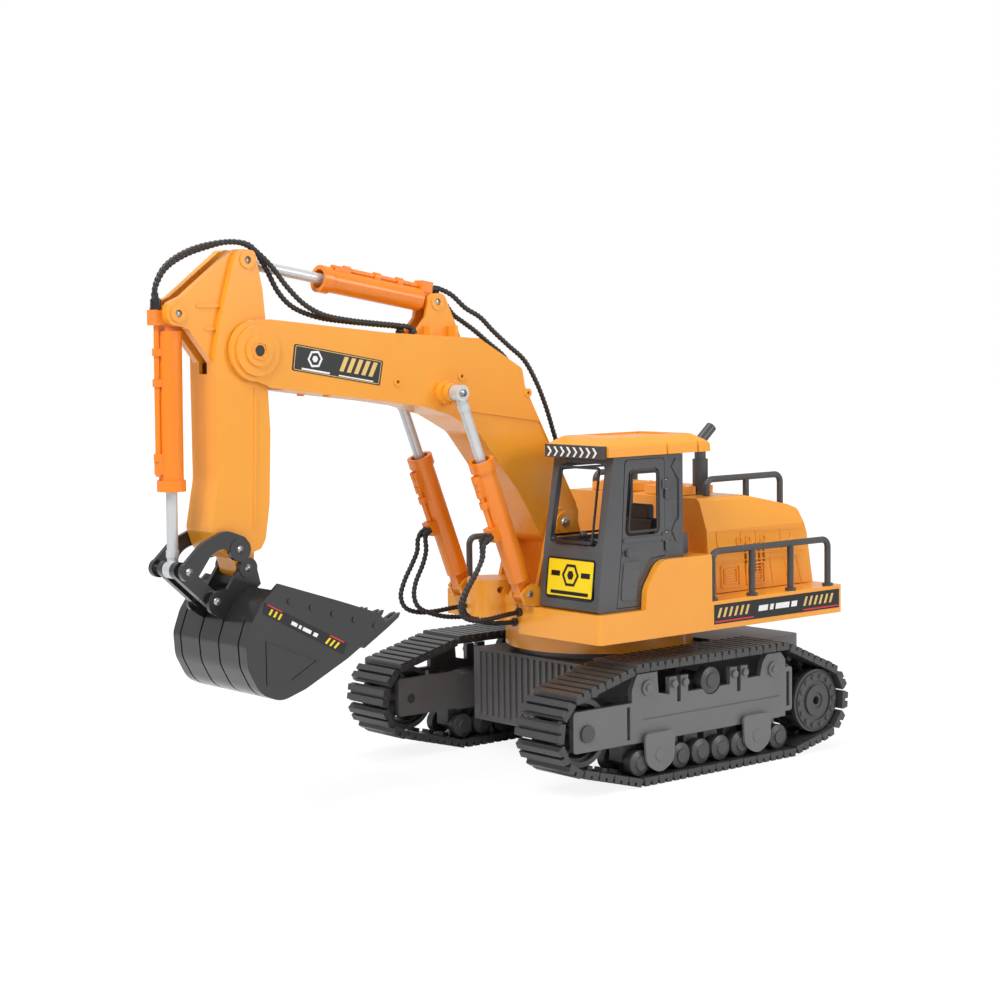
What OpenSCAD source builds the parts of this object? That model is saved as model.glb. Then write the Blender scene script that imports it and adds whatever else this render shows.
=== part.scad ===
// Tracked excavator toy with a working boom, arm and bucket.
// +X points to the front, +Y to the cab side (the machine's left), +Z up.
// The origin is on the swing axis, on the ground under the tracks.

/* [Tracks] */
// Width over the two tracks
track_span = 197; // [194:1:230]
// Width of one track shoe
shoe_w = 37; // [34:1:40]
// Height of the upper run above the ground
track_h = 71; // [68:1:80]
// Distance of the idler's axle in front of the swing axis
idler_x = 97; // [94:1:120]
// Distance of the sprocket's axle behind the swing axis
sprocket_x = 94; // [90:1:120]
// Number of links in one track band
link_count = 44; // [40:1:46]
// Thickness of a shoe with its grousers
shoe_t = 5; // [4:0.5:6]
// Radius of the idler and of the sprocket's rim
wheel_r = 19.6; // [17:0.1:20]
// Radius of a road roller
roller_r = 7.5; // [6:0.5:8]

/* [House] */
// Width of the deck
deck_w = 182; // [176:1:200]
// Distance of the deck's rear edge behind the swing axis
deck_rear = 124; // [116:1:140]
// Distance of the deck's nose in front of the swing axis
deck_nose = 83; // [82:1:90]
// Height of the deck's floor above the ground
deck_z = 83; // [82:1:90]
// Height of the deck's skirt
deck_h = 17; // [16:1:24]
// Height of the engine hood above the deck
hood_h = 58; // [48:1:70]
// Radius of the turntable ring
ring_r = 50; // [44:1:51]
// Diameter of the handrail tube
rail_d = 4; // [3:0.5:5]

/* [Cab] */
// Width of the cab
cab_w = 50; // [46:1:50]
// Height of the cab without its roof
cab_h = 88; // [80:1:100]
// Thickness of the cab's walls
cab_wall = 2.2; // [1.6:0.2:3]

/* [Boom and arm] */
// Width of the boom
boom_w = 32; // [30:1:33]
// Width of the arm
arm_w = 25.4; // [22:0.2:26]
// Wall of the boom's and the arm's shells
shell_wall = 2; // [1.6:0.2:2.4]
// Radius of a cylinder's barrel
barrel_r = 6.5; // [6:0.1:7]
// Radius of a cylinder's bore
bore_r = 5.3; // [5:0.1:5.5]
// Radius of a piston rod
rod_r = 3; // [2.6:0.1:3.2]
// Radius of the linkage pins
pin_r = 2; // [1.6:0.1:2.2]
// Running clearance of a pin in its hole, on the radius
pin_gap = 0.08; // [0.05:0.01:0.1]

/* [Bucket] */
// Width of the bucket
bucket_w = 72; // [60:1:80]
// Thickness of the bucket's plates
bucket_wall = 2.2; // [1.8:0.2:3]
// Number of teeth
tooth_count = 5; // [3:1:5]

/* [Hoses] */
// Diameter of the hydraulic hoses
hose_d = 2.8; // [2:0.1:3.2]

/* [Hidden] */
$fn = 48;

ORANGE = "orange";
CHARCOAL = "dimgray";
STEEL = "silver";

track_y = (track_span - shoe_w) / 2;
track_in = track_y - shoe_w / 2;
gap = 0.3;

// Linkage points as [x, z] with the boom, the arm and the bucket at rest
boom_foot = [45, 146];
boom_cyl_foot = [86, 108];
boom_cyl_eye = [132, 226];
arm_pivot = [259, 252];
arm_cyl_foot = [129.5, 277.5];
arm_cyl_eye = [262, 300];
bucket_cyl_foot = [303, 272];
rocker_pivot = [272.5, 147];
bucket_pivot = [265, 136.3];
rocker_end = [304.5, 137.5];
link_end = [285, 120];
// Sideways place of the two boom cylinders, and the half width of a cylinder's eyes
cyl_y = 28.5;
eye_w = 3.4;
eye_r = 5;

// ---------- plane geometry ----------
function unit(v) = v / norm(v);
function short_turn(a) = a > 180 ? a - 360 : (a < -180 ? a + 360 : a);
function flat(p) = [p[0], p[1]];
function angle_of(v) = atan2(v[1], v[0]);
function along(a) = [cos(a), sin(a)];

// The arc that rounds corner q between p and s with radius r
function corner(p, q, s, r) =
    let (u = unit(p - q), v = unit(s - q), half = acos(u * v) / 2)
    let (reach = min(r / tan(half), 0.48 * norm(p - q), 0.48 * norm(s - q)))
    let (c = q + unit(u + v) * reach / cos(half))
    let (from = angle_of(q + u * reach - c), turn = short_turn(angle_of(q + v * reach - c) - from))
    [for (i = [0:4]) c + reach * tan(half) * along(from + turn * i / 4)];

// An outline whose points are [x, z] or [x, z, corner radius]
function rounded(pts) = [
    for (i = [0:len(pts) - 1])
        let (p = pts[(i + len(pts) - 1) % len(pts)], q = pts[i], s = pts[(i + 1) % len(pts)])
        each (len(q) > 2 ? corner(flat(p), flat(q), flat(s), q[2]) : [flat(q)])
];

// The same outline moved inwards by d, for points given anticlockwise
function inward(p, q) = let (e = unit(flat(q) - flat(p))) [-e[1], e[0]];
function shrunk(pts, d) = [
    for (i = [0:len(pts) - 1])
        let (p = pts[(i + len(pts) - 1) % len(pts)], q = pts[i], s = pts[(i + 1) % len(pts)])
        let (a = inward(p, q), b = inward(q, s), m = flat(q) + d * (a + b) / (1 + a * b))
        len(q) > 2 ? [m[0], m[1], max(q[2] - d, 0.3)] : m
];

// A plate whose outline lies in the XZ plane, from y0 to y1
module plate(pts, y0, y1) {
    translate([0, y1, 0]) rotate([90, 0, 0]) linear_extrude(y1 - y0) polygon(pts);
}

// A bar whose outline lies in the YZ plane, from x0 to x1
module bar_x(pts, x0, x1) {
    translate([x0, 0, 0]) rotate([90, 0, 90]) linear_extrude(x1 - x0) polygon(pts);
}

// A round bar along Y at [x, z]
module pin_y(at, r, y0, y1) {
    translate([at[0], y0, at[1]]) rotate([-90, 0, 0]) cylinder(r = r, h = y1 - y0);
}

module block(x0, x1, y0, y1, z0, z1) {
    translate([x0, y0, z0]) cube([x1 - x0, y1 - y0, z1 - z0]);
}

module both_sides() {
    children();
    mirror([0, 1, 0]) children();
}

// Puts a piece that is drawn along +X from its pivot at [x, z], turned up by an angle
module placed(at, a) {
    translate([at[0], 0, at[1]]) rotate([0, -a, 0]) children();
}

// ---------- track band ----------
roller_z = shoe_t + 0.5 + roller_r;
idler_z = 35.5;
sprocket_z = 31;
band_r = wheel_r + 0.4;
bend_r = 6;
// Wheels and bends that the band wraps, anticlockwise from the idler: [x, z, radius]
wraps = [
    [idler_x, idler_z, band_r],
    [idler_x - 39, track_h - shoe_t - bend_r, bend_r],
    [32 - sprocket_x, track_h - shoe_t - bend_r, bend_r],
    [-sprocket_x, sprocket_z, band_r],
    [26 - sprocket_x, shoe_t + bend_r, bend_r],
    [idler_x - 39, shoe_t + bend_r, bend_r]
];
function wrap(i) = wraps[(i + len(wraps)) % len(wraps)];
function span(i) = flat(wrap(i + 1)) - flat(wrap(i));
function out_angle(i) = angle_of(span(i)) - acos((wrap(i)[2] - wrap(i + 1)[2]) / norm(span(i)));
function turn_at(i) = let (t = out_angle(i) - out_angle(i - 1)) t < 0 ? t + 360 : t;
function arc_len(i) = wrap(i)[2] * turn_at(i) * PI / 180;
function run_len(i) = sqrt(pow(norm(span(i)), 2) - pow(wrap(i)[2] - wrap(i + 1)[2], 2));
function band_len(i = 0) = i == len(wraps) ? 0 : arc_len(i) + run_len(i) + band_len(i + 1);
link_pitch = band_len() / link_count;

// Place on the band at a distance s from the idler's lower tangent: [x, z, outward angle]
function on_band(s, i = 0) =
    let (w = wrap(i), arc = arc_len(i), run = run_len(i), a = out_angle(i))
    s <= arc ? let (t = out_angle(i - 1) + turn_at(i) * s / arc) concat(flat(w) + w[2] * along(t), [t])
    : s <= arc + run ? concat(flat(w) + w[2] * along(a) + (s - arc) * along(a + 90), [a])
    : on_band(s - arc - run, i + 1);

guide_h = 2.3;
guide_w = 7;
groove_w = 10;

module link() {
    half = (link_pitch - 0.5) / 2;
    base = shoe_t * 0.52;
    profile = [
        [-half, 0], [half, 0], [half, base], [half - 0.4, base], [half - 0.9, shoe_t],
        [0.9, shoe_t], [0.6, base], [-0.6, base], [-0.9, shoe_t],
        [0.9 - half, shoe_t], [0.4 - half, base], [-half, base]
    ];
    plate(profile, -shoe_w / 2, shoe_w / 2);
    block(-2, 2, -guide_w / 2, guide_w / 2, -guide_h, 0.5);
}

module track_band() {
    color(CHARCOAL) for (i = [0:link_count - 1]) {
        at = on_band((i + 0.5) * link_pitch);
        translate([at[0], track_y, at[1]]) rotate([0, 90 - at[2], 0]) link();
    }
}

module track_left() { track_band(); }
module track_right() { mirror([0, 1, 0]) track_band(); }

// ---------- wheels ----------
axle_r = 3;
hub_r = 5.6;
idler_half = 10.5;

// A body of revolution about Y at [x, z]; its outline is [radius, y]
module spun(at, y, pts) {
    translate([at[0], y, at[1]]) rotate([-90, 0, 0]) rotate_extrude() polygon(pts);
}

module idler() {
    rim_in = wheel_r - 3;
    groove = wheel_r - 2.6;
    at = [idler_x, idler_z];
    color(CHARCOAL) difference() {
        union() {
            spun(at, track_y, [
                [rim_in, -idler_half], [wheel_r, -idler_half], [wheel_r, -groove_w / 2],
                [groove, -groove_w / 2], [groove, groove_w / 2], [wheel_r, groove_w / 2],
                [wheel_r, idler_half], [rim_in, idler_half], [rim_in, 7],
                [rim_in - 1.6, 7], [rim_in - 1.6, -7], [rim_in, -7]
            ]);
            spun(at, track_y, [[0, -idler_half], [hub_r, -idler_half], [hub_r, idler_half], [0, idler_half]]);
            translate([idler_x, track_y, idler_z]) for (k = [0:3]) rotate([0, 45 + 90 * k, 0])
                block(hub_r - 1, rim_in - 0.8, -9, 9, -1.5, 1.5);
        }
        pin_y(at, axle_r + pin_gap, track_y - 12, track_y + 12);
    }
}

module idler_left() { idler(); }
module idler_right() { mirror([0, 1, 0]) idler(); }

arm_gap = 0.4;
fork_in = idler_half + arm_gap;
fork_out = 14.3;

module idler_axles() {
    color(STEEL) both_sides() {
        pin_y([idler_x, idler_z], axle_r, track_y - fork_out + 0.5, track_y + plate_out + 1);
        pin_y([idler_x, idler_z], axle_r + 2, track_y + plate_out + 0.02, track_y + plate_out + 1.6);
    }
}

drum_r = 18;
tooth_r = 1.3;
shaft_r = 3;
gearbox_y = 54;

module sprocket() {
    at = [-sprocket_x, sprocket_z];
    groove = wheel_r - 2.8;
    color(CHARCOAL) difference() {
        union() {
            spun(at, track_y, [
                [0, -11], [drum_r, -11], [drum_r, -groove_w / 2], [groove, -groove_w / 2],
                [groove, groove_w / 2], [drum_r, groove_w / 2], [drum_r, 11], [wheel_r - 0.2, 11],
                [wheel_r - 0.2, 14], [17.4, 14], [17.4, 14.8], [12.4, 14.8], [12.4, 14], [9.6, 14],
                [9.6, 15.2], [5, 15.2], [5, 14.4], [0, 14.4]
            ]);
            translate([at[0], track_y, at[1]]) for (k = [0:13]) rotate([0, 360 / 14 * k, 0])
                for (side = [-1, 1]) translate([drum_r, side * 8, 0]) rotate([90, 0, 0])
                    cylinder(r = tooth_r, h = 5.6, center = true);
            translate([at[0], track_y + 14.6, at[1]]) for (k = [0:13]) rotate([0, 360 / 14 * k, 0])
                translate([15, 0, 0]) rotate([-90, 0, 0]) cylinder(r = 1.5, h = 1.1, $fn = 24);
            pin_y(at, shaft_r, gearbox_y, track_y - 10);
        }
        pin_y(at, 2.6, track_y + 9, track_y + 16);
    }
}

module sprocket_left() { sprocket(); }
module sprocket_right() { mirror([0, 1, 0]) sprocket(); }

// ---------- side frames ----------
roller_count = 8;
roller_front = idler_x - 41;
roller_rear = 34 - sprocket_x;
roller_step = (roller_front - roller_rear) / (roller_count - 1);
roller_pin = 4;
plate_in = 11;
plate_out = 14.5;
beam_z0 = 24;
beam_z1 = 46;
carrier_r = 8;
carrier_at = [-2, track_h - shoe_t - guide_h - 1.4 - carrier_r];
frame_front = idler_x - 35;
frame_rear = 28 - sprocket_x;
post_top = track_h - shoe_t - 1.5;

module roller(at, r) {
    spun(at, track_y, [
        [0, -16], [r * 0.55, -16], [r * 0.55, -15], [r, -14], [r, -8], [roller_pin, -8],
        [roller_pin, 8], [r, 8], [r, 14], [r * 0.55, 15], [r * 0.55, 16], [0, 16]
    ]);
}

module rollers() {
    color(CHARCOAL) {
        for (k = [0:roller_count - 1]) roller([roller_rear + k * roller_step, roller_z], roller_r);
        roller(carrier_at, carrier_r);
    }
}

module rollers_left() { rollers(); }
module rollers_right() { mirror([0, 1, 0]) rollers(); }

// A saddle that holds a roller's waist, and reaches to z
module saddle(x, z0, z1) {
    w = roller_pin + 1.6;
    block(x - w, x + w, track_y - 5.5, track_y + 5.5, min(z0, z1), max(z0, z1));
}

module track_frame() {
    front = frame_front;
    rear = frame_rear;
    low = 25;
    mid = 50;
    tall = post_top;
    step = 60;
    outline = [
        [rear, low], [front, low], [front, 56], [front - 4, tall], [front - 20, tall], [front - 21, 52],
        [front - 30, mid], [front - 30, step], [front - 36, step], [front - 36, 45], [front - 39, 45],
        [front - 39, step], [front - 45, step], [front - 45, mid], [rear + 48, mid], [rear + 48, step],
        [rear + 42, step], [rear + 42, 45], [rear + 39, 45], [rear + 39, step], [rear + 33, step],
        [rear + 33, 52], [rear + 22, 52], [rear + 20, step], [rear + 16, tall], [rear + 4, tall],
        [rear, step]
    ];
    fork = [[front - 4, low], [idler_x + 10, low, 2], [idler_x + 10, 48.5, 2], [front - 4, 48.5]];
    loop = [[rear - 6, 28, 2], [rear + 1, 28], [rear + 1, 55], [rear - 6, 55, 2]];
    color(CHARCOAL) translate([0, track_y, 0]) difference() {
        union() {
            plate(outline, plate_in, plate_out);
            plate(rounded(fork), fork_in, plate_out);
            plate(rounded(fork), -fork_out, -fork_in);
            plate(rounded(loop), plate_in, plate_out);
            difference() {
                block(rear + 2, front - 2, -14, plate_in + 1, beam_z0, beam_z1);
                block(rear, front, -12, plate_in - 1, beam_z0 + 2, beam_z1 - 2);
            }
            block(front - 4, front + 1, -fork_out, -fork_in, low, 48.5);
            for (x = [front - 42, rear + 20]) block(x, x + 26, 57 + gap - track_y, -13, 27, 43);
            for (p = [[front - 12, 56], [rear + 11, 55]]) {
                pin_y(p, 4.4, plate_out - 1, plate_out + 1.2);
                pin_y(p, 2, plate_out, plate_out + 2.2);
            }
            for (x = [front - 33, front - 42, rear + 36, rear + 45]) pin_y([x, 56], 2.2, plate_out - 1, 16.4);
            for (x = [front - 19, rear + 28]) {
                plate(rounded([[x - 12, 30, 3], [x - 11, 12, 8], [x, 5.8, 9], [x + 11, 12, 8], [x + 12, 30, 3]]),
                      16.4, 18);
                block(x - 8, x + 8, plate_out - 1, 17, 25, 30);
                pin_y([x, 17], 4, 17, 18.4);
            }
            for (k = [0:roller_count - 1]) translate([0, -track_y, 0])
                saddle(roller_rear + k * roller_step, roller_z, beam_z0 + 1);
            translate([0, -track_y, 0]) saddle(carrier_at[0], beam_z1 - 1, carrier_at[1]);
        }
        for (k = [0:roller_count - 1])
            pin_y([roller_rear + k * roller_step, roller_z], roller_pin + gap, -9, 9);
        pin_y(carrier_at, roller_pin + gap, -9, 9);
        pin_y(carrier_at, carrier_r + gap, plate_in - 3, plate_out + 3);
        pin_y([idler_x, idler_z], axle_r + 0.02, -fork_out - 1, plate_out + 1);
        block(front + 1.5, front + 4, fork_in - 1, plate_out + 1, 27.5, 46.5);
        block(rear - 3.8, rear - 1, plate_in - 1, plate_out + 1, 31, 52);
        block(rear + 6, front - 8, plate_out - 0.5, plate_out + 1, 37.6, 38.6);
        for (x = [front - 36, rear + 26]) pin_y([x, 35], 1.5, -track_y, -11);
    }
}

module track_frame_left() { track_frame(); }
module track_frame_right() { mirror([0, 1, 0]) track_frame(); }

// ---------- chassis ----------
tub_w = 57;
tub_front = 54;
tub_top = 64;
tub_low = 19;
box_top = 66;
box_front = -62;
box_rear = -122;
box_w = 56;
spigot_r = 12;
spigot_h = deck_z + 1;

module chassis() {
    color(CHARCOAL) difference() {
        union() {
            block(box_front, tub_front, -tub_w, tub_w, tub_low, tub_top);
            translate([0, 0, tub_low - 1]) linear_extrude(box_top - tub_low + 1) polygon(rounded([
                [box_front, -box_w], [box_front, box_w], [box_rear, box_w, 5], [box_rear, -box_w, 5]
            ]));
            for (y = [-50.4:5.6:50.5]) block(tub_front - 1, tub_front + 1.6, y - 1.1, y + 1.1, 23, tub_top - 2);
        }
        block(box_front + 3, tub_front - 3, -tub_w + 3, tub_w - 3, tub_low - 1, tub_top - 3);
        block(box_rear + 2.5, box_front - 2, -box_w + 2.5, box_w - 2.5, tub_low + 2, box_top - 2.5);
        block(box_rear + 8, box_front - 8, -42, 42, tub_low - 2, tub_low + 3);
        block(box_front - 3, box_front + 4, -30, 30, tub_low + 6, tub_top - 8);
        cylinder(r = spigot_r - 4, h = 100);
        both_sides() {
            pin_y([-sprocket_x, sprocket_z], shaft_r + 0.5, box_w - 4, box_w + 2);
            for (x = [frame_front - 36, frame_rear + 26]) pin_y([x, 35], 1.5, tub_w - 4, tub_w + 1);
        }
        for (k = [0:5]) rotate([0, 0, 30 + 60 * k]) translate([ring_r - 10, 0, tub_top - 4])
            cylinder(r = 1.2, h = 6, $fn = 24);
    }
}

module belly_plate() {
    color(CHARCOAL) difference() {
        union() {
            block(box_front + 3.2, tub_front - 3.2, -tub_w + 3.2, tub_w - 3.2, tub_low - 0.5, tub_low + 1.5);
            for (x = [-40, 0, 36]) block(x - 1.5, x + 1.5, -40, 40, tub_low + 1, tub_low + 4);
        }
        for (x = [-52, 44]) for (y = [-45, 45]) translate([x, y, 0]) cylinder(r = 1.6, h = 40, $fn = 24);
    }
}

module battery_door() {
    color(CHARCOAL) difference() {
        union() {
            block(box_rear + 8.4, box_front - 8.4, -41.6, 41.6, tub_low - 0.8, tub_low + 1);
            block(box_rear + 6, box_front - 6, -20, 20, tub_low + 2.2, tub_low + 3.6);
            block(box_rear + 12, box_front - 12, -20, 20, tub_low + 0.5, tub_low + 3);
        }
        translate([(box_rear + box_front) / 2, 34, 0]) cylinder(r = 1.6, h = 60, $fn = 24);
    }
}

cell_r = 7;

module battery_pack() {
    color("green") for (k = [0:3]) translate([0, -30 + k * 15, 0]) {
        z = tub_low + 3.65 + cell_r;
        translate([box_rear + 7, 7.5, z]) rotate([0, 90, 0]) cylinder(r = cell_r, h = 44);
        translate([box_rear + 50.8, 7.5, z]) rotate([0, 90, 0]) cylinder(r = 2.6, h = 1.2);
    }
    color("black") block(box_rear + 6, box_front - 6, -31, 31, tub_low + 3.7 + 2 * cell_r, tub_low + 5.5 + 2 * cell_r);
}

module screw_head(r, h) {
    difference() {
        cylinder(r = r, h = h, $fn = 24);
        translate([-r / 2, -0.3, -0.1]) cube([r, 0.6, h * 0.5]);
        translate([-0.3, -r / 2, -0.1]) cube([0.6, r, h * 0.5]);
    }
}

module chassis_screws() {
    color(STEEL) {
        for (x = [-52, 44]) for (y = [-45, 45]) translate([x, y, tub_low - 1.4]) {
            screw_head(2.8, 0.9);
            translate([0, 0, 0.6]) cylinder(r = 1.4, h = 5.4, $fn = 24);
        }
        translate([(box_rear + box_front) / 2, 34, tub_low - 1.7]) {
            screw_head(2.8, 0.9);
            translate([0, 0, 0.6]) cylinder(r = 1.4, h = 5.4, $fn = 24);
        }
    }
}

module drive_gearbox() {
    color("whitesmoke") difference() {
        block(-sprocket_x - 14, -sprocket_x + 20, 34, box_w - 2.9, tub_low + 22.5, box_top - 3);
        pin_y([-sprocket_x, sprocket_z], shaft_r + pin_gap, 30, 60);
    }
    color("whitesmoke") difference() {
        block(-sprocket_x - 8, -sprocket_x + 8, 46, box_w - 2.9, tub_low + 2.4, tub_low + 22.5);
        pin_y([-sprocket_x, sprocket_z], shaft_r + pin_gap, 30, 60);
    }
}

module drive_gearbox_left() { drive_gearbox(); }
module drive_gearbox_right() { mirror([0, 1, 0]) drive_gearbox(); }

module turntable() {
    color(CHARCOAL) difference() {
        union() {
            translate([0, 0, tub_top]) cylinder(r = ring_r, h = 2, $fn = 96);
            translate([0, 0, tub_top]) difference() {
                cylinder(r = ring_r, h = 4, $fn = 96);
                translate([0, 0, 1]) cylinder(r = ring_r - 5, h = 4, $fn = 96);
            }
            translate([0, 0, tub_top]) cylinder(r = spigot_r, h = spigot_h + 2.3 - tub_top);
        }
        translate([0, 0, tub_top - 1]) cylinder(r = spigot_r - 4, h = 60);
        for (k = [0:5]) rotate([0, 0, 30 + 60 * k]) translate([ring_r - 10, 0, tub_top - 1])
            cylinder(r = 1.6, h = 6, $fn = 24);
    }
}

module swing_cap() {
    color(STEEL) translate([0, 0, spigot_h + 2.3]) difference() {
        union() {
            cylinder(r = spigot_r + 4, h = 2);
            translate([0, 0, -8]) cylinder(r = spigot_r - 4, h = 9);
        }
        translate([0, 0, -9]) cylinder(r = spigot_r - 6, h = 14);
    }
}

// ---------- house ----------
deck_top = deck_z + deck_h;
deck_y = deck_w / 2;
mount_y0 = -46;
mount_y1 = 19;
mount_back = 50;
hood_front = -28;
hood_rear = -deck_rear + 3;
hood_base = 68;

deck_outline = [
    [deck_nose, mount_y1 + gap, 1.5], [deck_nose, deck_y, 3], [-deck_rear, deck_y, 5],
    [-deck_rear, -deck_y, 5], [36, -deck_y, 4], [36, mount_y0 - gap], [mount_back, mount_y0 - gap],
    [mount_back, mount_y1 + gap]
];

cab_y1 = 86;
cab_y0 = cab_y1 - cab_w;
cab_front = 80;
cab_rear = 12;

// The raised step behind the cab, with its rounded front beside the door
fender_front = 47;
fender_top = deck_top + 28;
fender_outline = [
    [-7, deck_top - 1], [fender_front, deck_top - 1], [fender_front - 1, deck_top + 12, 12],
    [fender_front - 12, fender_top, 12], [-7, fender_top, 3]
];

module deck() {
    color(ORANGE) difference() {
        union() {
            translate([0, 0, deck_z]) linear_extrude(deck_h) polygon(rounded(deck_outline));
            translate([0, 0, tub_top + 4.5]) cylinder(r = ring_r + 8, h = deck_z - tub_top - 4, $fn = 96);
            plate(rounded(fender_outline), cab_y1 + 0.5, deck_y);
            block(-7, cab_rear - 2.6, cab_y0, deck_y - 0.5, deck_top - 1, fender_top);
        }
        translate([0, 0, deck_z + 3]) linear_extrude(deck_h - 6)
            polygon(rounded(shrunk([for (i = [len(deck_outline) - 1:-1:0]) deck_outline[i]], -3)));
        block(hood_rear + 5, hood_front - 5, -60, 60, deck_top - 4, deck_top + 1);
        block(-4, cab_rear - 5, cab_y0 + 3, deck_y - 4, deck_top - 4, fender_top - 2.4);
        translate([0, 0, tub_top]) difference() {
            cylinder(r = ring_r + 5.5, h = deck_z - tub_top, $fn = 96);
            translate([0, 0, 4.4]) cylinder(r = ring_r - 0.6, h = 40, $fn = 96);
            }
        translate([0, 0, tub_top]) cylinder(r = ring_r - 5, h = deck_z - tub_top, $fn = 96);
        cylinder(r = spigot_r + gap, h = 120);
        for (p = mount_bolts) translate([p[0], p[1], deck_top - 4]) cylinder(r = 1.3, h = 6, $fn = 24);
    }
}

mount_bolts = [[30, -36], [30, 10], [8, -36], [8, 10]];

module boom_mount() {
    z = deck_top + gap;
    lug = [
        [22, z + 3], [68, z + 3], [boom_foot[0] + 9, boom_foot[1] + 9, 9],
        [boom_foot[0] - 9, boom_foot[1] + 9, 9]
    ];
    ear_at = boom_cyl_foot;
    ear_r = 6;
    ear = [
        [ear_at[0] - 15, z + 1], [ear_at[0] + 3, z + 1], [ear_at[0] + ear_r, ear_at[1]],
        [ear_at[0], ear_at[1] + ear_r, ear_r], [ear_at[0] - ear_r, ear_at[1] + ear_r - 1, 4]
    ];
    color(ORANGE) difference() {
        union() {
            block(2, deck_nose, mount_y0, mount_y1, z, z + 4);
            block(mount_back + gap, deck_nose, mount_y0, mount_y1, deck_z + 6, z + 1);
            block(deck_nose - 13, deck_nose + 0.5, -cyl_y - 6, cyl_y + 6, z, z + 5);
            translate([deck_nose - 2, -6, deck_z + 9]) cylinder(r = 15, h = deck_h + 5);
            both_sides() {
                plate(rounded(lug), boom_w / 2 + gap, boom_w / 2 + 2.8);
                plate(rounded(ear), cyl_y - eye_w - 2.9, cyl_y - eye_w - gap);
                plate(rounded(ear), cyl_y + eye_w + gap, cyl_y + eye_w + 2.6);
                pin_y(boom_foot, 6.4, boom_w / 2 + gap, boom_w / 2 + 4);
            }
        }
        both_sides() pin_y(boom_cyl_foot, eye_r + 0.8, cyl_y - eye_w - gap, cyl_y + eye_w + gap);
        pin_y(boom_foot, pin_r + 1, -40, 40);
        pin_y(boom_cyl_foot, pin_r + 0.02, -60, 60);
        block(mount_back + 4, deck_nose - 3, mount_y0 + 3, mount_y1 - 3, deck_z + 5, z + 1.5);
        for (p = mount_bolts) translate([p[0], p[1], z - 1]) cylinder(r = 1.6, h = 8, $fn = 24);
    }
}

hood_z = deck_top + gap;
hood_top = deck_top + hood_h;
hood_section = [
    [-hood_base, hood_z], [hood_base, hood_z], [hood_base - 2, hood_z + 38, 3], [hood_base - 9, hood_top, 5],
    [9 - hood_base, hood_top, 5], [2 - hood_base, hood_z + 38, 3]
];
hood_side = [
    [hood_rear, hood_z - 1], [hood_front, hood_z - 1], [hood_front, hood_top + 1], [-62, hood_top + 1],
    [-104, hood_top - 8, 6], [hood_rear + 9, hood_top - 11, 4], [hood_rear + 4, hood_top - 26, 8]
];

// The hood's outside, moved inwards by d
module hood_solid(d) {
    intersection() {
        bar_x(rounded(shrunk(hood_section, d)), hood_rear + d, hood_front - d);
        plate(rounded(shrunk(hood_side, d * 1.1)), -80, 80);
    }
}

module hood() {
    z = hood_z;
    color(ORANGE) {
        difference() {
            hood_solid(0);
            hood_solid(2);
            block(hood_rear + 4, hood_front - 4, -hood_base + 4, hood_base - 4, z - 1, z + 5);
            for (side = [-1, 1]) for (k = [0:4])
                block(-62 - k * 4, -60 - k * 4, side * (hood_base - 1) - 4, side * (hood_base - 1) + 4, z + 10, z + 28);
        }
    }
}

exhaust_at = [-51, 38];

module hood_vents() {
    z = deck_top + hood_h - 0.5;
    color(ORANGE) for (s = [[hood_front - 4, -64, -40], [hood_front - 4, -64, 8]]) {
        difference() {
            union() {
                block(s[1] + 4, s[0], s[2], s[2] + 32, z + 0.9, z + 6);
                for (x = [s[1] + 8:6:s[0] - 2]) for (y = [s[2] + 3, s[2] + 29]) translate([x, y, z + 5])
                    cylinder(r = 1, h = 1.7, $fn = 16);
            }
            for (k = [0:3]) block(s[1] + 9 + k * 6, s[1] + 11 + k * 6, s[2] + 6, s[2] + 26, z + 3, z + 8);
            translate([exhaust_at[0], exhaust_at[1], z]) cylinder(r = 6.4, h = 10);
        }
    }
}

rail_r = rail_d / 2;
rail_bend = 5;
near_rail = [-11, -45, -79, -113];
far_rail = [32, -4, -40, -76, -113];
hood_rail = [-44, -79, -110];

// A handrail over posts at xs that stand on a base, between bends at its two ends
module handrail(xs, y, base, top) {
    last = xs[len(xs) - 1];
    for (x = xs) translate([x, y, base]) {
        cylinder(r = rail_r + 1.4, h = 1.6);
        cylinder(r = rail_r, h = (x == xs[0] || x == last ? top - rail_bend : top) - base);
    }
    translate([last + rail_bend, y, top]) rotate([0, 90, 0]) cylinder(r = rail_r, h = xs[0] - last - 2 * rail_bend);
    for (e = [[xs[0] - rail_bend, 0], [last + rail_bend, 180]]) translate([e[0], y, top - rail_bend])
        rotate([90, 0, e[1]]) rotate_extrude(angle = 90) translate([rail_bend, 0]) circle(r = rail_r, $fn = 24);
}

module handrails() {
    color(CHARCOAL) {
        handrail(near_rail, deck_y - 4, deck_top + 0.02, deck_top + 29);
        handrail(far_rail, 4 - deck_y, deck_top + 0.02, deck_top + 29);
        difference() {
            both_sides() handrail(hood_rail, 50, deck_top + hood_h - 14, deck_top + hood_h + 10);
            hood_solid(0);
        }
    }
}

module exhaust_stack() {
    color(CHARCOAL) translate([exhaust_at[0], exhaust_at[1], hood_top + 0.05]) {
        cylinder(r = 6, h = 2);
        cylinder(r = 4.8, h = 22);
        cylinder(r = 3.5, h = 34);
        difference() {
            translate([0, 0, 33]) rotate([0, -50, 0]) translate([0, 0, -2]) cylinder(r = 3.4, h = 15);
            translate([0, 0, 33]) rotate([0, -50, 0]) translate([0, 0, 6]) cylinder(r = 2.5, h = 9);
        }
    }
}

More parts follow.
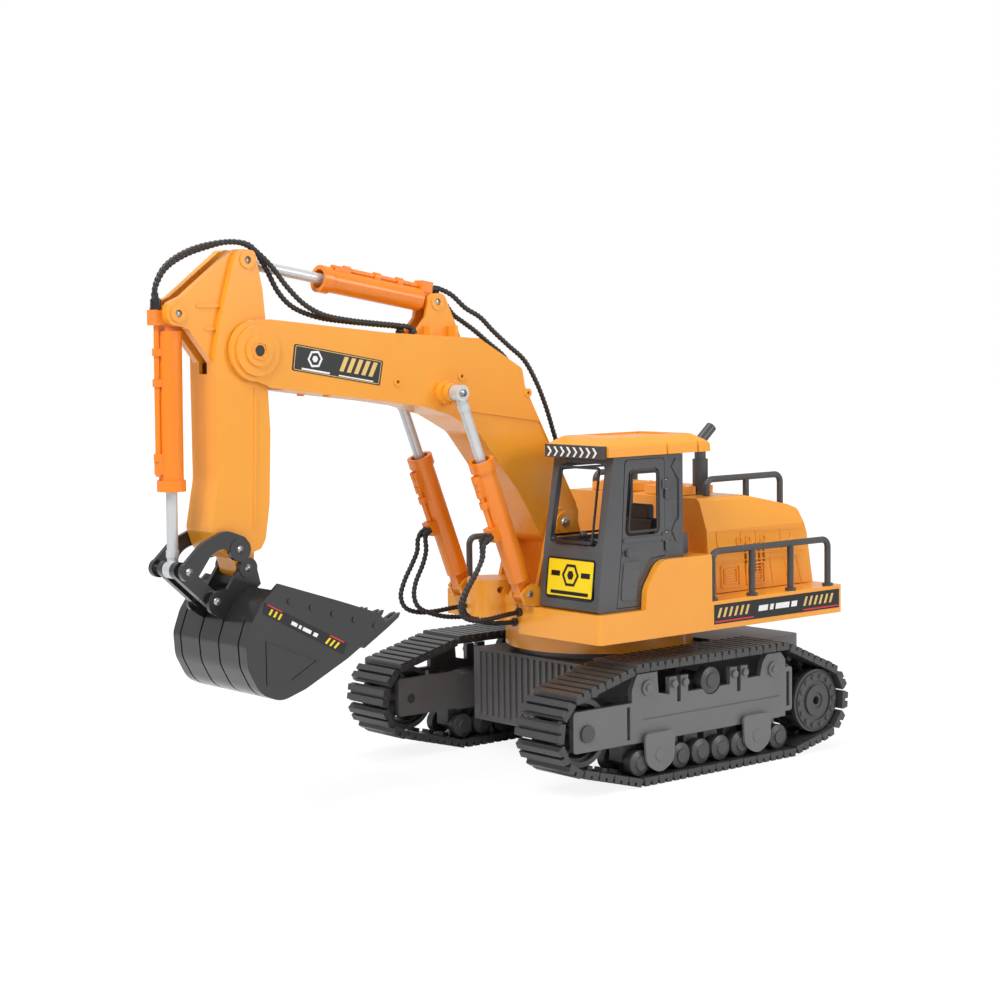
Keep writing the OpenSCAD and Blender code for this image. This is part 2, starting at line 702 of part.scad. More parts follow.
// ---------- cab ----------
cab_z = deck_top + gap;
cab_top = cab_z + cab_h;
belt_z = cab_z + 35;
cab_side = [
    [cab_rear, cab_z], [cab_front, cab_z, 1.5], [cab_front - 4, belt_z, 3],
    [cab_front - 13, cab_top], [cab_rear, cab_top]
];
door_x0 = 27;
door_x1 = 65;
door_z0 = cab_z + 2;
door_z1 = cab_top - 2;
window_z0 = belt_z + 7.5;
window_z1 = cab_top - 7;

module door_outline(grow) {
    g = grow;
    pts = [
        [door_x0 - g, fender_top + 2 - g], [fender_front - 8, fender_top + 1 - g, 4],
        [fender_front + 2 - g, deck_top + 14, 8], [fender_front + 2 - g, door_z0 - g],
        [door_x1 + g, door_z0 - g], [door_x1 - 4 + g, belt_z], [door_x1 - 7 + g, door_z1 + g, 3],
        [door_x0 - g, door_z1 + g, 3]
    ];
    polygon(rounded(pts));
}

module in_side(y0, y1) {
    translate([0, y1, 0]) rotate([90, 0, 0]) linear_extrude(y1 - y0) children();
}

hinge_z = [fender_top + 12, door_z1 - 16];
hinge_at = [door_x0 - 1.2, cab_y1 + 0.4];

module cab_shell() {
    w = cab_wall;
    glass = [
        [cab_rear + 10, window_z0 - 3, 3], [cab_front - 10, window_z0 - 3, 3], [cab_front - 18, window_z1, 3],
        [cab_rear + 10, window_z1, 3]
    ];
    front = [
        [cab_y0 + 5, belt_z + 2, 4], [cab_y1 - 5, belt_z + 2, 4], [cab_y1 - 6, cab_top - 4, 4],
        [cab_y0 + 6, cab_top - 4, 4]
    ];
    rear = [[cab_y0 + 8, belt_z + 4, 3], [cab_y1 - 9, belt_z + 4, 3], [cab_y1 - 9, cab_top - 8, 3], [cab_y0 + 8, cab_top - 8, 3]];
    vent = [[cab_rear + 3, belt_z + 16], [cab_rear + 6, belt_z + 12], [cab_rear + 9, belt_z + 16], [cab_rear + 9, belt_z + 38], [cab_rear + 6, belt_z + 42], [cab_rear + 3, belt_z + 38]];
    color(CHARCOAL) difference() {
        union() {
            difference() {
                plate(rounded(cab_side), cab_y0, cab_y1);
                plate(rounded(shrunk(cab_side, w)), cab_y0 + w, cab_y1 - w);
            }
            block(cab_rear - 14, cab_rear + 0.5, cab_y0 + 6, cab_y1 - 10, fender_top + gap, fender_top + 12);
            for (z = hinge_z) translate([hinge_at[0], hinge_at[1], z - 7]) cylinder(r = 1.7, h = 5, $fn = 24);
            for (z = hinge_z) block(hinge_at[0] - 4, hinge_at[0], cab_y1 - 1, cab_y1 + 1, z - 7, z - 2);
        }
        in_side(cab_y1 - w - 1, cab_y1 + 1) door_outline(0.4);
        plate(rounded(glass), cab_y0 - 1, cab_y0 + w + 1);
        bar_x(rounded(front), cab_front - 20, cab_front + 2);
        bar_x(rounded(rear), cab_rear - 1, cab_rear + w + 1);
        plate(vent, cab_y1 - 1, cab_y1 + 1);
        block(cab_rear + w, cab_front - 17, cab_y0 + w, cab_y1 - w, cab_top - w - 1, cab_top + 1);
        block(cab_rear + w + 2, cab_front - 5, cab_y0 + 6, cab_y1 - 6, cab_z - 1, cab_z + w + 1);
        translate([cab_front - 1.8, 0, 0]) bar_x(rounded([
            [cab_y0 + 4, cab_z + 6, 3], [cab_y1 - 4, cab_z + 6, 3], [cab_y1 - 4, belt_z - 3, 3], [cab_y0 + 4, belt_z - 3, 3]
        ]), 0, 3);
        for (z = hinge_z) translate([hinge_at[0], hinge_at[1], z - 8]) cylinder(r = 0.82, h = 7, $fn = 24);
        for (z = hinge_z) translate([hinge_at[0], hinge_at[1], z - 2]) cylinder(r = 2.1, h = 6.2, $fn = 24);
    }
}

module cab_door() {
    glass = [
        [door_x0 + 4, window_z0, 4], [door_x1 - 6, window_z0, 4], [door_x1 - 10, window_z1, 4],
        [door_x0 + 4, window_z1, 4]
    ];
    color(CHARCOAL) difference() {
        union() {
            in_side(cab_y1 - cab_wall + 0.1, cab_y1 + 0.2) door_outline(0);
            plate(rounded([
                [door_x0 + 24, cab_z + 6, 2], [door_x1 - 2.5, cab_z + 6, 2], [door_x1 - 5, belt_z - 7, 2],
                [door_x0 + 20, belt_z - 7, 2]
            ]), cab_y1, cab_y1 + 0.9);
            plate(rounded([[door_x0 + 1, belt_z + 4], [door_x1 - 5, belt_z + 4], [door_x1 - 5, belt_z + 6.4], [door_x0 + 1, belt_z + 6.4]]),
                  cab_y1, cab_y1 + 1);
            translate([door_x1 - 9, cab_y1, belt_z - 2]) rotate([-90, 0, 0]) cylinder(r = 2.6, h = 1.8, $fn = 24);
            block(door_x1 - 14, door_x1 - 7, cab_y1 + 0.9, cab_y1 + 2.2, belt_z - 2.9, belt_z - 1.1);
            for (z = hinge_z) translate([hinge_at[0], hinge_at[1], z - 1.7]) {
                cylinder(r = 1.7, h = 5, $fn = 24);
                block(0, 3.5, -1.4, 0.6, 0, 5);
            }
        }
        plate(rounded(glass), cab_y1 - 4, cab_y1 + 3);
        for (z = hinge_z) translate([hinge_at[0], hinge_at[1], z - 3]) cylinder(r = 0.88, h = 8, $fn = 24);
        for (z = hinge_z) translate([hinge_at[0], hinge_at[1], z - 7.4]) cylinder(r = 2.1, h = 5.6, $fn = 24);
    }
}

roof_front = 72;
roof_rear = -9;

module cab_roof() {
    z = cab_top + gap;
    y0 = cab_y0 - 2;
    y1 = cab_y1 + 2;
    side = [[roof_rear, z], [roof_front, z], [roof_front, z + 6, 1.5], [roof_front - 8, z + 11, 6], [roof_rear + 10, z + 11, 6], [roof_rear, z + 5, 3]];
    across = [[y0, z], [y1, z], [y1 - 0.5, z + 6, 3], [y1 - 7, z + 11, 5], [y0 + 7, z + 11, 5], [y0 + 0.5, z + 6, 3]];
    color(ORANGE) difference() {
        intersection() {
            plate(rounded(side), y0, y1);
            bar_x(rounded(across), roof_rear, roof_front);
        }
        intersection() {
            plate(rounded(shrunk(side, 2)), y0 + 2, y1 - 2);
            bar_x(rounded(shrunk(across, 2)), roof_rear + 2, roof_front - 2);
        }
        block(roof_rear + 3, roof_front - 7, y0 + 4, y1 - 4, z - 1, z + 3);
        block(8, 54, y0 + 11, y1 - 11, z + 10, z + 12);
        for (x = [26, 1]) block(x - 0.8, x + 0.8, y1 - 1.2, y1 + 1, z - 1, z + 8);
    }
}

module light_bar() {
    z = cab_top + gap;
    color("gainsboro") difference() {
        block(roof_front + gap, roof_front + 3.4, cab_y0 + 1, cab_y1, z - 1, z + 6.4);
        for (k = [0:7]) translate([roof_front + 3, cab_y0 + 5 + k * 5.8, z + 2.7]) rotate([0, 90, 0])
            cylinder(r = 1.6, h = 1, $fn = 24);
    }
}

seat_x = 22;
seat_y = (cab_y0 + cab_y1) / 2;

module driver_seat() {
    z = cab_z + cab_wall + 0.6;
    color("black") {
        block(seat_x, seat_x + 20, seat_y - 10, seat_y + 10, z - 2.8, z + 14);
        translate([0, 0, 0]) plate(rounded([
            [seat_x - 1, z + 12, 2], [seat_x + 24, z + 12, 2], [seat_x + 24, z + 19, 3], [seat_x + 8, z + 18, 2],
            [seat_x + 2, z + 47, 3], [seat_x - 4, z + 47, 3]
        ]), seat_y - 11, seat_y + 11);
        plate(rounded([[seat_x - 3.6, z + 46, 1], [seat_x + 1.6, z + 46, 1], [seat_x + 1, z + 55, 2.4], [seat_x - 4, z + 55, 2.4]]),
              seat_y - 7, seat_y + 7);
    }
}

module control_console() {
    z = cab_z + cab_wall;
    x = 56;
    color("black") {
        block(x - 3, x + 9, seat_y - 17, seat_y + 17, z - 2, z + 24);
        block(x - 5, x + 10, seat_y - 18, seat_y + 18, z + 23, z + 27);
        for (y = [seat_y - 12, seat_y + 12]) translate([x + 1, y, z + 26]) {
            cylinder(r = 1, h = 12, $fn = 24);
            translate([0, 0, 13]) sphere(r = 2.4);
        }
        translate([x - 2, seat_y, z + 26]) cylinder(r = 1.2, h = 8, $fn = 24);
        translate([x - 2, seat_y, z + 34]) rotate([0, -25, 0]) rotate_extrude() translate([6.5, 0]) circle(r = 1, $fn = 24);
        translate([x - 2, seat_y, z + 34]) rotate([0, -25, 0]) cube([13, 1.6, 1.6], center = true);
    }
}

// ---------- drives and electronics in the house ----------
module swing_gearbox() {
    z = deck_z + 3 + gap;
    color("whitesmoke") {
        block(-70, -37, -16, 16, z, z + 20);
        translate([-54, 0, z + 19]) cylinder(r = 10, h = 22);
    }
}

module boom_gearbox() {
    z = deck_z + 3 + gap;
    color("whitesmoke") {
        block(20, 46, -20, 14, z, z + 10);
        block(-14, 21, 26, 44, z, z + 10);
    }
}

module circuit_board() {
    z = deck_z + 3;
    color("green") block(-110, -70, -28, 28, z + 6, z + 7.6);
    color("black") block(-98, -84, -8, 8, z + 7.5, z + 10);
    color("silver") for (x = [-106, -74]) for (y = [-24, 24]) translate([x, y, z + 0.1]) cylinder(r = 2.2, h = 7, $fn = 24);
}

module house_pins() {
    color(STEEL) {
        pin_y(boom_foot, pin_r + 0.98, -boom_w / 2 - 4.6, boom_w / 2 + 4.6);
        both_sides() pin_y(boom_cyl_foot, pin_r, cyl_y - eye_w - 3.2, cyl_y + eye_w + 3);
        for (z = hinge_z) translate([hinge_at[0], hinge_at[1], z - 7.2]) cylinder(r = 0.8, h = 11, $fn = 24);
        for (p = mount_bolts) translate([p[0], p[1], deck_top + gap + 4]) {
            translate([0, 0, 1.2]) mirror([0, 0, 1]) screw_head(2.8, 1.1);
            translate([0, 0, -7]) cylinder(r = 1.25, h = 7.2, $fn = 24);
        }
    }
}

// ---------- boom ----------
boom_y = boom_w / 2;
ear_in = arm_w / 2 + 0.5;
boom_outline = [
    [250, 268.5], [172, 260.5, 20], [106, 256.5, 4], [74, 238.5, 4], [72, 228, 4], [55, 197, 12],
    [30, 152, 4], [31, 139, 10], [45, 131.5, 12], [59, 137, 10], [77, 166, 12], [90, 181, 20],
    [107, 202, 12], [128, 213, 16], [148, 218.5], [171, 222], [212, 227], [250, 232]
];
boom_core = [
    [236, 265, 1], [172, 258, 20], [107, 254, 4], [76, 237, 4], [74, 228, 4], [57, 197, 12],
    [34, 158, 2], [40, 156], [56, 158, 3], [88, 182, 10], [106, 204.5, 12], [128, 216, 16], [171, 225], [212, 230],
    [236, 233, 1]
];
leg_recess = [
    [134, 213], [114, 214.6], [61, 207], [52, 191], [34, 158], [27, 150], [28, 128], [62, 128],
    [80, 165], [110, 200], [128, 211]
];
clevis = [
    [arm_cyl_foot[0] - 17, 257], [arm_cyl_foot[0] + 17, 259], [arm_cyl_foot[0] + 8, 269],
    [arm_cyl_foot[0] + 5.6, arm_cyl_foot[1] + 5, 5],
    [arm_cyl_foot[0] - 5, arm_cyl_foot[1] + 5, 5]
];
boss_r = 7;
arm_boss_r = 16.5;
boom_cavity_end = 236;

// One half of the boom, on the +Y side of its joint face
module boom_half() {
    color(ORANGE) difference() {
        union() {
            difference() {
                plate(rounded(boom_outline), 0.05, boom_y);
                plate(rounded(boom_core), -1, boom_y - shell_wall);
                block(boom_cavity_end + 3, 300, -1, ear_in, 200, 300);
                plate(leg_recess, boom_y - 0.8, boom_y + 1);
            }
            pin_y(arm_pivot, arm_boss_r, ear_in, boom_y);
            plate([[246, 235], [250, 232], [arm_pivot[0], arm_pivot[1] - arm_boss_r],
                   [arm_pivot[0], arm_pivot[1] + arm_boss_r], [250, 268.5], [246, 266]], ear_in, boom_y);
            pin_y(arm_pivot, 13.5, boom_y - 1, boom_y + 1.6);
            pin_y(arm_pivot, 8.4, boom_y, boom_y + 2.8);
            plate(rounded(clevis), eye_w + gap + 0.3, eye_w + 3.4);
            pin_y(arm_cyl_foot, 4.6, eye_w + 2, eye_w + 4.2);
            for (x = [arm_cyl_foot[0] - 9, arm_cyl_foot[0] + 9])
                block(x - 1, x + 1, eye_w + 2, boom_y - 3, 256, 264);
            pin_y(boom_cyl_eye, boss_r, 2, cyl_y - eye_w - 4.5);
            pin_y(boom_cyl_eye, boss_r - 1.6, 2, cyl_y - eye_w - gap);
            pin_y(boom_foot, 9, 2, boom_y - 0.2);
            for (p = [[166, 233], [120, 235], [70, 224]]) pin_y(p, 2.6, 0.05, boom_y + 0.8);
            for (x = [212, 190]) block(x - 0.9, x + 0.9, 10.1, boom_y - 1, 226, 262);
        }
        pin_y(arm_pivot, pin_r + 1, -1, 40);
        pin_y(boom_foot, pin_r + 1 + pin_gap, -1, 40);
        pin_y(arm_cyl_foot, pin_r + 0.02, -1, 40);
        pin_y(boom_cyl_eye, pin_r + 0.02, -1, 40);
        for (p = [[166, 233], [120, 235], [70, 224]]) pin_y(p, 1, 3, 40);
    }
}

module boom_left_shell() { boom_half(); }
module boom_right_shell() { mirror([0, 1, 0]) boom_half(); }

module boom_pins() {
    color(STEEL) {
        pin_y(boom_cyl_eye, pin_r, -cyl_y - eye_w - 1.4, cyl_y + eye_w + 1.4);
        pin_y(arm_cyl_foot, pin_r, -eye_w - 3.8, eye_w + 3.8);
        pin_y(arm_pivot, pin_r + 0.98, -boom_y - 2.4, boom_y + 2.4);
    }
}

module arm_gearbox() {
    color("whitesmoke") {
        block(196, 232, -10, 10, 234, 254);
        translate([196, 0, 244]) rotate([0, -90, 0]) cylinder(r = 8, h = 20);
    }
}

// ---------- arm ----------
arm_y = arm_w / 2;
arm_outline = [
    [257, 305, 3], [252.6, 284, 4], [250.6, 262, 6], [250.5, 230, 10], [249.5, 209, 20], [251, 170, 20],
    [254, 151, 8], [257, 146, 3], [266, 143.6, 2], [273, 141.4, 5], [284, 147, 5], [288, 158, 8], [283, 184, 20],
    [283, 252], [279, 270], [271, 298, 3], [267, 306, 4]
];
arm_core = [
    [258, 282, 1], [253.5, 262], [253, 232], [252, 209], [253, 172], [257, 156, 2], [280, 156, 2],
    [284, 164, 2], [280.8, 184], [280.8, 252], [277, 268], [273, 282, 1]
];
front_plate = [
    [266, 291], [266, 303, 2], [268, 305.5, 2], [300, 281, 4], [309.5, 277, 5], [309.5, 266.4, 5.5],
    [297.6, 264.8, 4], [283, 246], [275, 246]
];
nose_r = 5.6;
nose_outline = [
    [258.5, 150], [bucket_pivot[0] - nose_r, bucket_pivot[1]], [bucket_pivot[0] + nose_r, bucket_pivot[1]], [275, 150]
];
slot_y = eye_w + 0.5;

module arm_half() {
    color(ORANGE) difference() {
        union() {
            difference() {
                plate(rounded(arm_outline), 0.05, arm_y);
                plate(rounded(arm_core), -1, arm_y - shell_wall);
                plate([[240, 287], [300, 287], [300, 320], [240, 320]], -1, slot_y);
                plate([[270, 300], [275.5, 283], [279.5, 268], [282.5, 256], [290, 300]], arm_y - 3, arm_y + 1);
                plate([[276, 240], [276, 290], [300, 290], [300, 240]], -1, slot_y);
            }
            plate(rounded(front_plate), slot_y, arm_y - 3.6);
            plate(nose_outline, 0.05, 8.5);
            pin_y(bucket_pivot, nose_r, 0.05, 8.5);
            pin_y(arm_cyl_eye, 4.6, arm_y - 1, arm_y + 0.9);
            pin_y(bucket_cyl_foot, 4.6, arm_y - 5, arm_y - 2.6);
            pin_y(rocker_pivot, 5.4, 2, arm_y);
            for (z = [264, 276]) block(274, 292 - (276 - z) * 0.4, arm_y - 4.6, arm_y - 2.8, z - 0.8, z + 0.8);
            pin_y(arm_pivot, 11, 0.05, arm_y);
            for (z = [205, 175]) pin_y([267, z], 3, 0.05, arm_y - 1);
            plate([[257.5, 230], [260, 160], [262, 158], [259.5, 232]], arm_y - 0.5, arm_y + 0.5);
        }
        pin_y(arm_pivot, pin_r + 1 + pin_gap, -1, 40);
        pin_y(arm_cyl_eye, pin_r + 0.02, -1, 40);
        pin_y(bucket_cyl_foot, pin_r + 0.02, -1, 40);
        pin_y(rocker_pivot, pin_r + 0.02, -1, 40);
        pin_y(bucket_pivot, pin_r + 0.02, -1, 40);
    }
}

module arm_left_shell() { arm_half(); }
module arm_right_shell() { mirror([0, 1, 0]) arm_half(); }

rocker_in = arm_y + 0.4;
rocker_out = rocker_in + 2.8;
lug_in = 8.9;
lug_out = 11.6;

module arm_pins() {
    color(STEEL) {
        pin_y(arm_cyl_eye, pin_r, -arm_y - 0.4, arm_y + 0.4);
        pin_y(bucket_cyl_foot, pin_r, 3 - arm_y, arm_y - 3);
        pin_y(rocker_pivot, pin_r, -rocker_out - 0.8, rocker_out + 0.8);
        pin_y(bucket_pivot, pin_r, -lug_out - 0.8, lug_out + 0.8);
    }
}

// ---------- bucket ----------
bucket_y = bucket_w / 2;
bucket_outline = [
    [262, 129.5], [222, 116.5], [196, 107.5], [191, 101], [218, 85], [246, 71.5, 14], [262, 66.5, 14],
    [275, 72, 14], [282.5, 86, 14], [283.5, 99, 12], [279, 111, 12], [272, 121, 8]
];
bucket_hollow = [
    [262, 133], [180, 112], [190, 104.5], [219, 87.5], [247, 73.8, 12], [262, 69, 12], [273.6, 74, 12],
    [280.2, 87, 12], [281.2, 98, 10], [276.8, 109.5, 10], [268, 122, 5]
];
bucket_lug = [
    [257, 127], [bucket_pivot[0] - nose_r, bucket_pivot[1]], [bucket_pivot[0] + nose_r, bucket_pivot[1]],
    [278, 126], [290, 124.6, 5], [290, 115, 5], [280, 109], [268, 118]
];

module bucket_shell() {
    color(CHARCOAL) difference() {
        union() {
            difference() {
                plate(rounded(bucket_outline), -bucket_y, bucket_y);
                plate(rounded(bucket_hollow), bucket_wall - bucket_y, bucket_y - bucket_wall);
            }
            both_sides() {
                plate(rounded(bucket_lug), lug_in, lug_out);
                pin_y(bucket_pivot, nose_r, lug_in, lug_out + 0.6);
                for (k = [0:4]) pin_y([255 - k * 14, 119.5 - k * 4.6], 1.8, bucket_y - 1, bucket_y + 0.8);
            }
            block(258, 272, -lug_out, lug_out, 121.5, 124);
        }
        pin_y(bucket_pivot, pin_r + pin_gap, -40, 40);
        pin_y(link_end, pin_r + 0.02, -40, 40);
        for (y = [-28.5, -9.5, 9.5, 28.5]) difference() {
            plate([[268, 60], [300, 60], [300, 112], [268, 112]], y - 0.7, y + 0.7);
            plate(rounded(shrunk([for (p = bucket_outline) p], 0.8)), y - 2, y + 2);
        }
    }
}

tooth_step = (bucket_w - 12) / (tooth_count - 1);

module bucket_teeth() {
    a = atan2(107.5 - 101, 196 - 191) - 70;
    color(CHARCOAL) for (k = [0:tooth_count - 1]) {
        y = -bucket_y + 6 + k * tooth_step;
        difference() {
            plate([[206, 92.6], [190.7, 101.6], [182.5, 105.6], [179.5, 106.2], [181, 103.4], [188, 98.8], [205, 88.6]],
                  y - 3.4, y + 3.4);
            plate([[186, 99], [170, 104], [176, 112], [187, 106]], y - 0.9, y + 0.9);
            plate([[230, 77.4], [190.4, 100.2], [190.4, 101.8], [230, 96]], y - 4, y + 4);
        }
    }
}

module bucket_pin() {
    color(STEEL) pin_y(link_end, pin_r, -lug_out - 0.8, lug_out + 0.8);
}

// The curved links that turn about the arm and carry the bucket cylinder's end
module rocker() {
    outline = [
        [267, 144, 4], [268, 153, 4], [281, 158, 10], [296, 152, 12], [309, 140, 5], [307, 131.5, 5],
        [299, 134, 4], [290, 146, 10], [281, 149.5, 8], [275, 141, 4]
    ];
    color(CHARCOAL) difference() {
        both_sides() {
            plate(rounded(outline), rocker_in, rocker_out);
            pin_y(rocker_pivot, 6.4, rocker_in, rocker_out + 0.6);
            pin_y(rocker_end, 5, rocker_in, rocker_out + 0.6);
        }
        pin_y(rocker_pivot, pin_r + pin_gap, -40, 40);
        pin_y(rocker_end, pin_r + 0.02, -40, 40);
    }
}

module rocker_pin() {
    color(STEEL) pin_y(rocker_end, pin_r, -rocker_out - 1, rocker_out + 1);
}

link_gap = 0.95;

module bucket_link() {
    a = angle_of(link_end - rocker_end);
    len = norm(link_end - rocker_end);
    color(CHARCOAL) difference() {
        both_sides() {
            placed(rocker_end, a) plate(rounded([
                [-4.6, -4.4, 4], [len + 4, -4.4, 4], [len + 4, 4.4, 4], [-4.6, 4.4, 4]
            ]), eye_w + 0.6, lug_in - 0.4);
            placed(rocker_end, a) block(9, 18, -0.1, eye_w + 1, -1.6, 1.6);
        }
        pin_y(rocker_end, pin_r + pin_gap, -40, 40);
        pin_y(link_end, pin_r + link_gap, -40, 40);
    }
}

// ---------- hydraulic cylinders ----------
boom_cyl_a = angle_of(boom_cyl_eye - boom_cyl_foot);
boom_cyl_len = norm(boom_cyl_eye - boom_cyl_foot);
arm_cyl_a = angle_of(arm_cyl_eye - arm_cyl_foot);
arm_cyl_len = norm(arm_cyl_eye - arm_cyl_foot);
bucket_cyl_a = angle_of(rocker_end - bucket_cyl_foot);
bucket_cyl_len = norm(rocker_end - bucket_cyl_foot);
pipe_r = 1.5;
tail_len = 9;

// A barrel along +X from its pivot, with its hose block on the side that up points to
module barrel(len, up, block_at) {
    pipe_z = up * (barrel_r + 1.2);
    difference() {
        union() {
            pin_y([0, 0], eye_r, -eye_w, eye_w);
            block(0, 10, -eye_w, eye_w, -4.4, 4.4);
            translate([tail_len, 0, 0]) rotate([0, 90, 0]) cylinder(r = barrel_r, h = len - tail_len - 1);
            translate([len - 6, 0, 0]) rotate([0, 90, 0]) cylinder(r = barrel_r + 1.1, h = 6);
            translate([block_at, 0, pipe_z]) rotate([0, 90, 0]) cylinder(r = pipe_r, h = len - 8 - block_at, $fn = 24);
            for (x = [block_at + 16, block_at + 32, len - 20]) translate([x + 2, 0, up * (barrel_r - 0.5)]) cube([4, 4.8, 3], center = true);
            for (x = [block_at + 16, block_at + 32, len - 20]) translate([x, 0, pipe_z]) rotate([0, 90, 0])
                cylinder(r = pipe_r + 0.9, h = 4, $fn = 24);
            translate([len - 14, 0, pipe_z - up * 2.2]) cube([10, 5, 6.4], center = true);
            translate([block_at, 0, pipe_z]) cube([8, 7.6, 6.4], center = true);
        }
        pin_y([0, 0], pin_r + pin_gap, -20, 20);
        translate([14, 0, 0]) rotate([0, 90, 0]) cylinder(r = bore_r, h = len);
    }
}

// A rod along -X from its eye
module piston_rod(len) {
    difference() {
        union() {
            pin_y([0, 0], eye_r - 0.4, -eye_w, eye_w);
            translate([-len, 0, 0]) rotate([0, 90, 0]) cylinder(r = rod_r, h = len);
            translate([-10.5, 0, 0]) rotate([0, 90, 0]) cylinder(r = rod_r + 0.5, h = 4);
        }
        pin_y([0, 0], pin_r + pin_gap, -20, 20);
    }
}

boom_barrel_len = 85;
arm_barrel_len = 79;
bucket_barrel_len = 93;

module boom_barrel_left() {
    color(ORANGE) translate([0, cyl_y, 0]) placed(boom_cyl_foot, boom_cyl_a) barrel(boom_barrel_len, -1, 42);
}
module boom_barrel_right() {
    color(ORANGE) translate([0, -cyl_y, 0]) placed(boom_cyl_foot, boom_cyl_a) barrel(boom_barrel_len, -1, 42);
}
module boom_rod_left() {
    color(STEEL) translate([0, cyl_y, 0]) placed(boom_cyl_eye, boom_cyl_a) piston_rod(78);
}
module boom_rod_right() {
    color(STEEL) translate([0, -cyl_y, 0]) placed(boom_cyl_eye, boom_cyl_a) piston_rod(78);
}
module arm_barrel() { color(ORANGE) placed(arm_cyl_foot, arm_cyl_a) barrel(arm_barrel_len, 1, 6); }
module arm_rod() { color(STEEL) placed(arm_cyl_eye, arm_cyl_a) piston_rod(86); }
module bucket_barrel() { color(ORANGE) placed(bucket_cyl_foot, bucket_cyl_a) barrel(bucket_barrel_len, 1, 2); }
module bucket_rod() { color(STEEL) placed(rocker_end, bucket_cyl_a) piston_rod(84); }

// ---------- hoses ----------
// Routes from the hose blocks, point by point
bucket_hose_a = [
    [310.8, 2, 274.4], [310.9, 2, 278], [312.2, 2.2, 286], [307, 3, 296], [297, 4, 303], [284, 6, 307.6],
    [268, 9, 309.6], [257, 9.6, 306.4], [245, 9.8, 297], [235, 9.8, 286], [224, 9.8, 276.6], [211, 9.8, 270.6],
    [194, 9.8, 267.6], [176, 9.8, 265.8], [160, 9.8, 264.4], [152.4, 9.8, 263.4], [150.1, 9.8, 261.4], [150, 9.8, 259.4]
];
bucket_hose_b = [
    [310.8, -2, 274.4], [310.8, -2, 278], [309.6, -1.8, 286], [304, -1, 295.4], [293, 0, 302.4], [280, 2, 307],
    [268, 4.6, 309.6], [255, 5.6, 307.6], [246, 6, 296], [238, 6, 283], [228, 6, 274.6], [212, 6, 269.4],
    [194, 6, 267], [176, 6, 265.4], [166, 6, 264.6], [158.4, 6, 263.8], [156.1, 6, 261.8], [156, 6, 259.8]
];
arm_hose_a = [
    [129.8, 2, 285.4], [124, 2.2, 285], [116, 3.4, 281.4], [107, 4.6, 274], [97, 5.6, 268.6], [88, 6.4, 260.6],
    [77, 7, 252], [65, 7.4, 243], [56, 7.6, 230], [49, 7.6, 216], [43.6, 7.6, 202], [40, 7.6, 190], [43, 7.6, 179]
];
arm_hose_b = [
    [129.8, -2, 285.4], [124, -2.4, 283.4], [116, -3.4, 277], [109, -4.6, 270.4], [101, -5.4, 266], [92, -6, 261],
    [81, -6.4, 253.6], [68, -6.8, 244.6], [59, -7, 232], [51.6, -7, 217.6], [46, -7, 204], [42.6, -7, 192], [43, -7, 179]
];
boom_hose_a = [
    [111.7, 30.6, 143.05], [114.3, 30.6, 142], [117.2, 30.6, 137.6], [118, 30.4, 131], [122, 30, 124], [129, 29, 114], [132.6, 28, 105.4],
    [130, 27, 98.4], [121, 26, 95], [109, 25, 94.6], [96, 24, 95.6], [84, 22, 96]
];
boom_hose_b = [
    [111.7, 26.4, 143.05], [113.4, 26.4, 142.4], [115, 26.2, 138.6], [114.8, 26, 131], [118, 25.4, 123], [124, 24.4, 113.4], [126.6, 23, 105.4],
    [124, 22, 98.6], [116, 21, 94.4], [106, 20, 91.6], [95, 19, 90.4], [84, 18, 89.8]
];

function tangent(p, i) = unit(p[min(i + 1, len(p) - 1)] - p[max(i - 1, 0)]);

module hose(p) {
    n = len(p);
    rings = [
        for (i = [0:n - 1])
            let (t = tangent(p, i), u = unit(cross([0, 1, 0], t)), v = cross(t, u))
            for (k = [0:7]) p[i] + hose_d / 2 * (u * cos(45 * k) + v * sin(45 * k))
    ];
    walls = [
        for (i = [0:n - 2]) for (k = [0:7])
            [i * 8 + k, i * 8 + 8 + k, i * 8 + 8 + (k + 1) % 8, i * 8 + (k + 1) % 8]
    ];
    polyhedron(rings, concat([[for (k = [0:7]) k]], walls, [[for (k = [7:-1:0]) (n - 1) * 8 + k]]));
}

module bucket_hoses() { color("black") { hose(bucket_hose_a); hose(bucket_hose_b); } }
module arm_hoses() { color("black") { hose(arm_hose_a); hose(arm_hose_b); } }
module boom_hoses() { color("black") both_sides() { hose(boom_hose_a); hose(boom_hose_b); } }

chassis();
belly_plate();
battery_pack();
battery_door();
chassis_screws();
drive_gearbox_left();
drive_gearbox_right();
turntable();
swing_cap();
track_frame_left();
track_frame_right();
rollers_left();
rollers_right();
idler_axles();
track_left();
track_right();
sprocket_left();
sprocket_right();
idler_left();
idler_right();
deck();
hood();
hood_vents();
handrails();
exhaust_stack();
boom_mount();
cab_shell();
cab_roof();
light_bar();
driver_seat();
control_console();
swing_gearbox();
boom_gearbox();
circuit_board();
house_pins();
cab_door();
boom_left_shell();
boom_right_shell();
boom_pins();
arm_gearbox();
arm_left_shell();
arm_right_shell();
arm_pins();
bucket_shell();
bucket_teeth();
bucket_pin();
rocker();
rocker_pin();
bucket_link();
boom_barrel_left();
boom_barrel_right();
boom_rod_left();
boom_rod_right();
arm_barrel();
arm_rod();
bucket_barrel();
bucket_rod();
bucket_hoses();
arm_hoses();
boom_hoses();
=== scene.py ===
import math
import bmesh
import bpy
from mathutils import Matrix, Vector


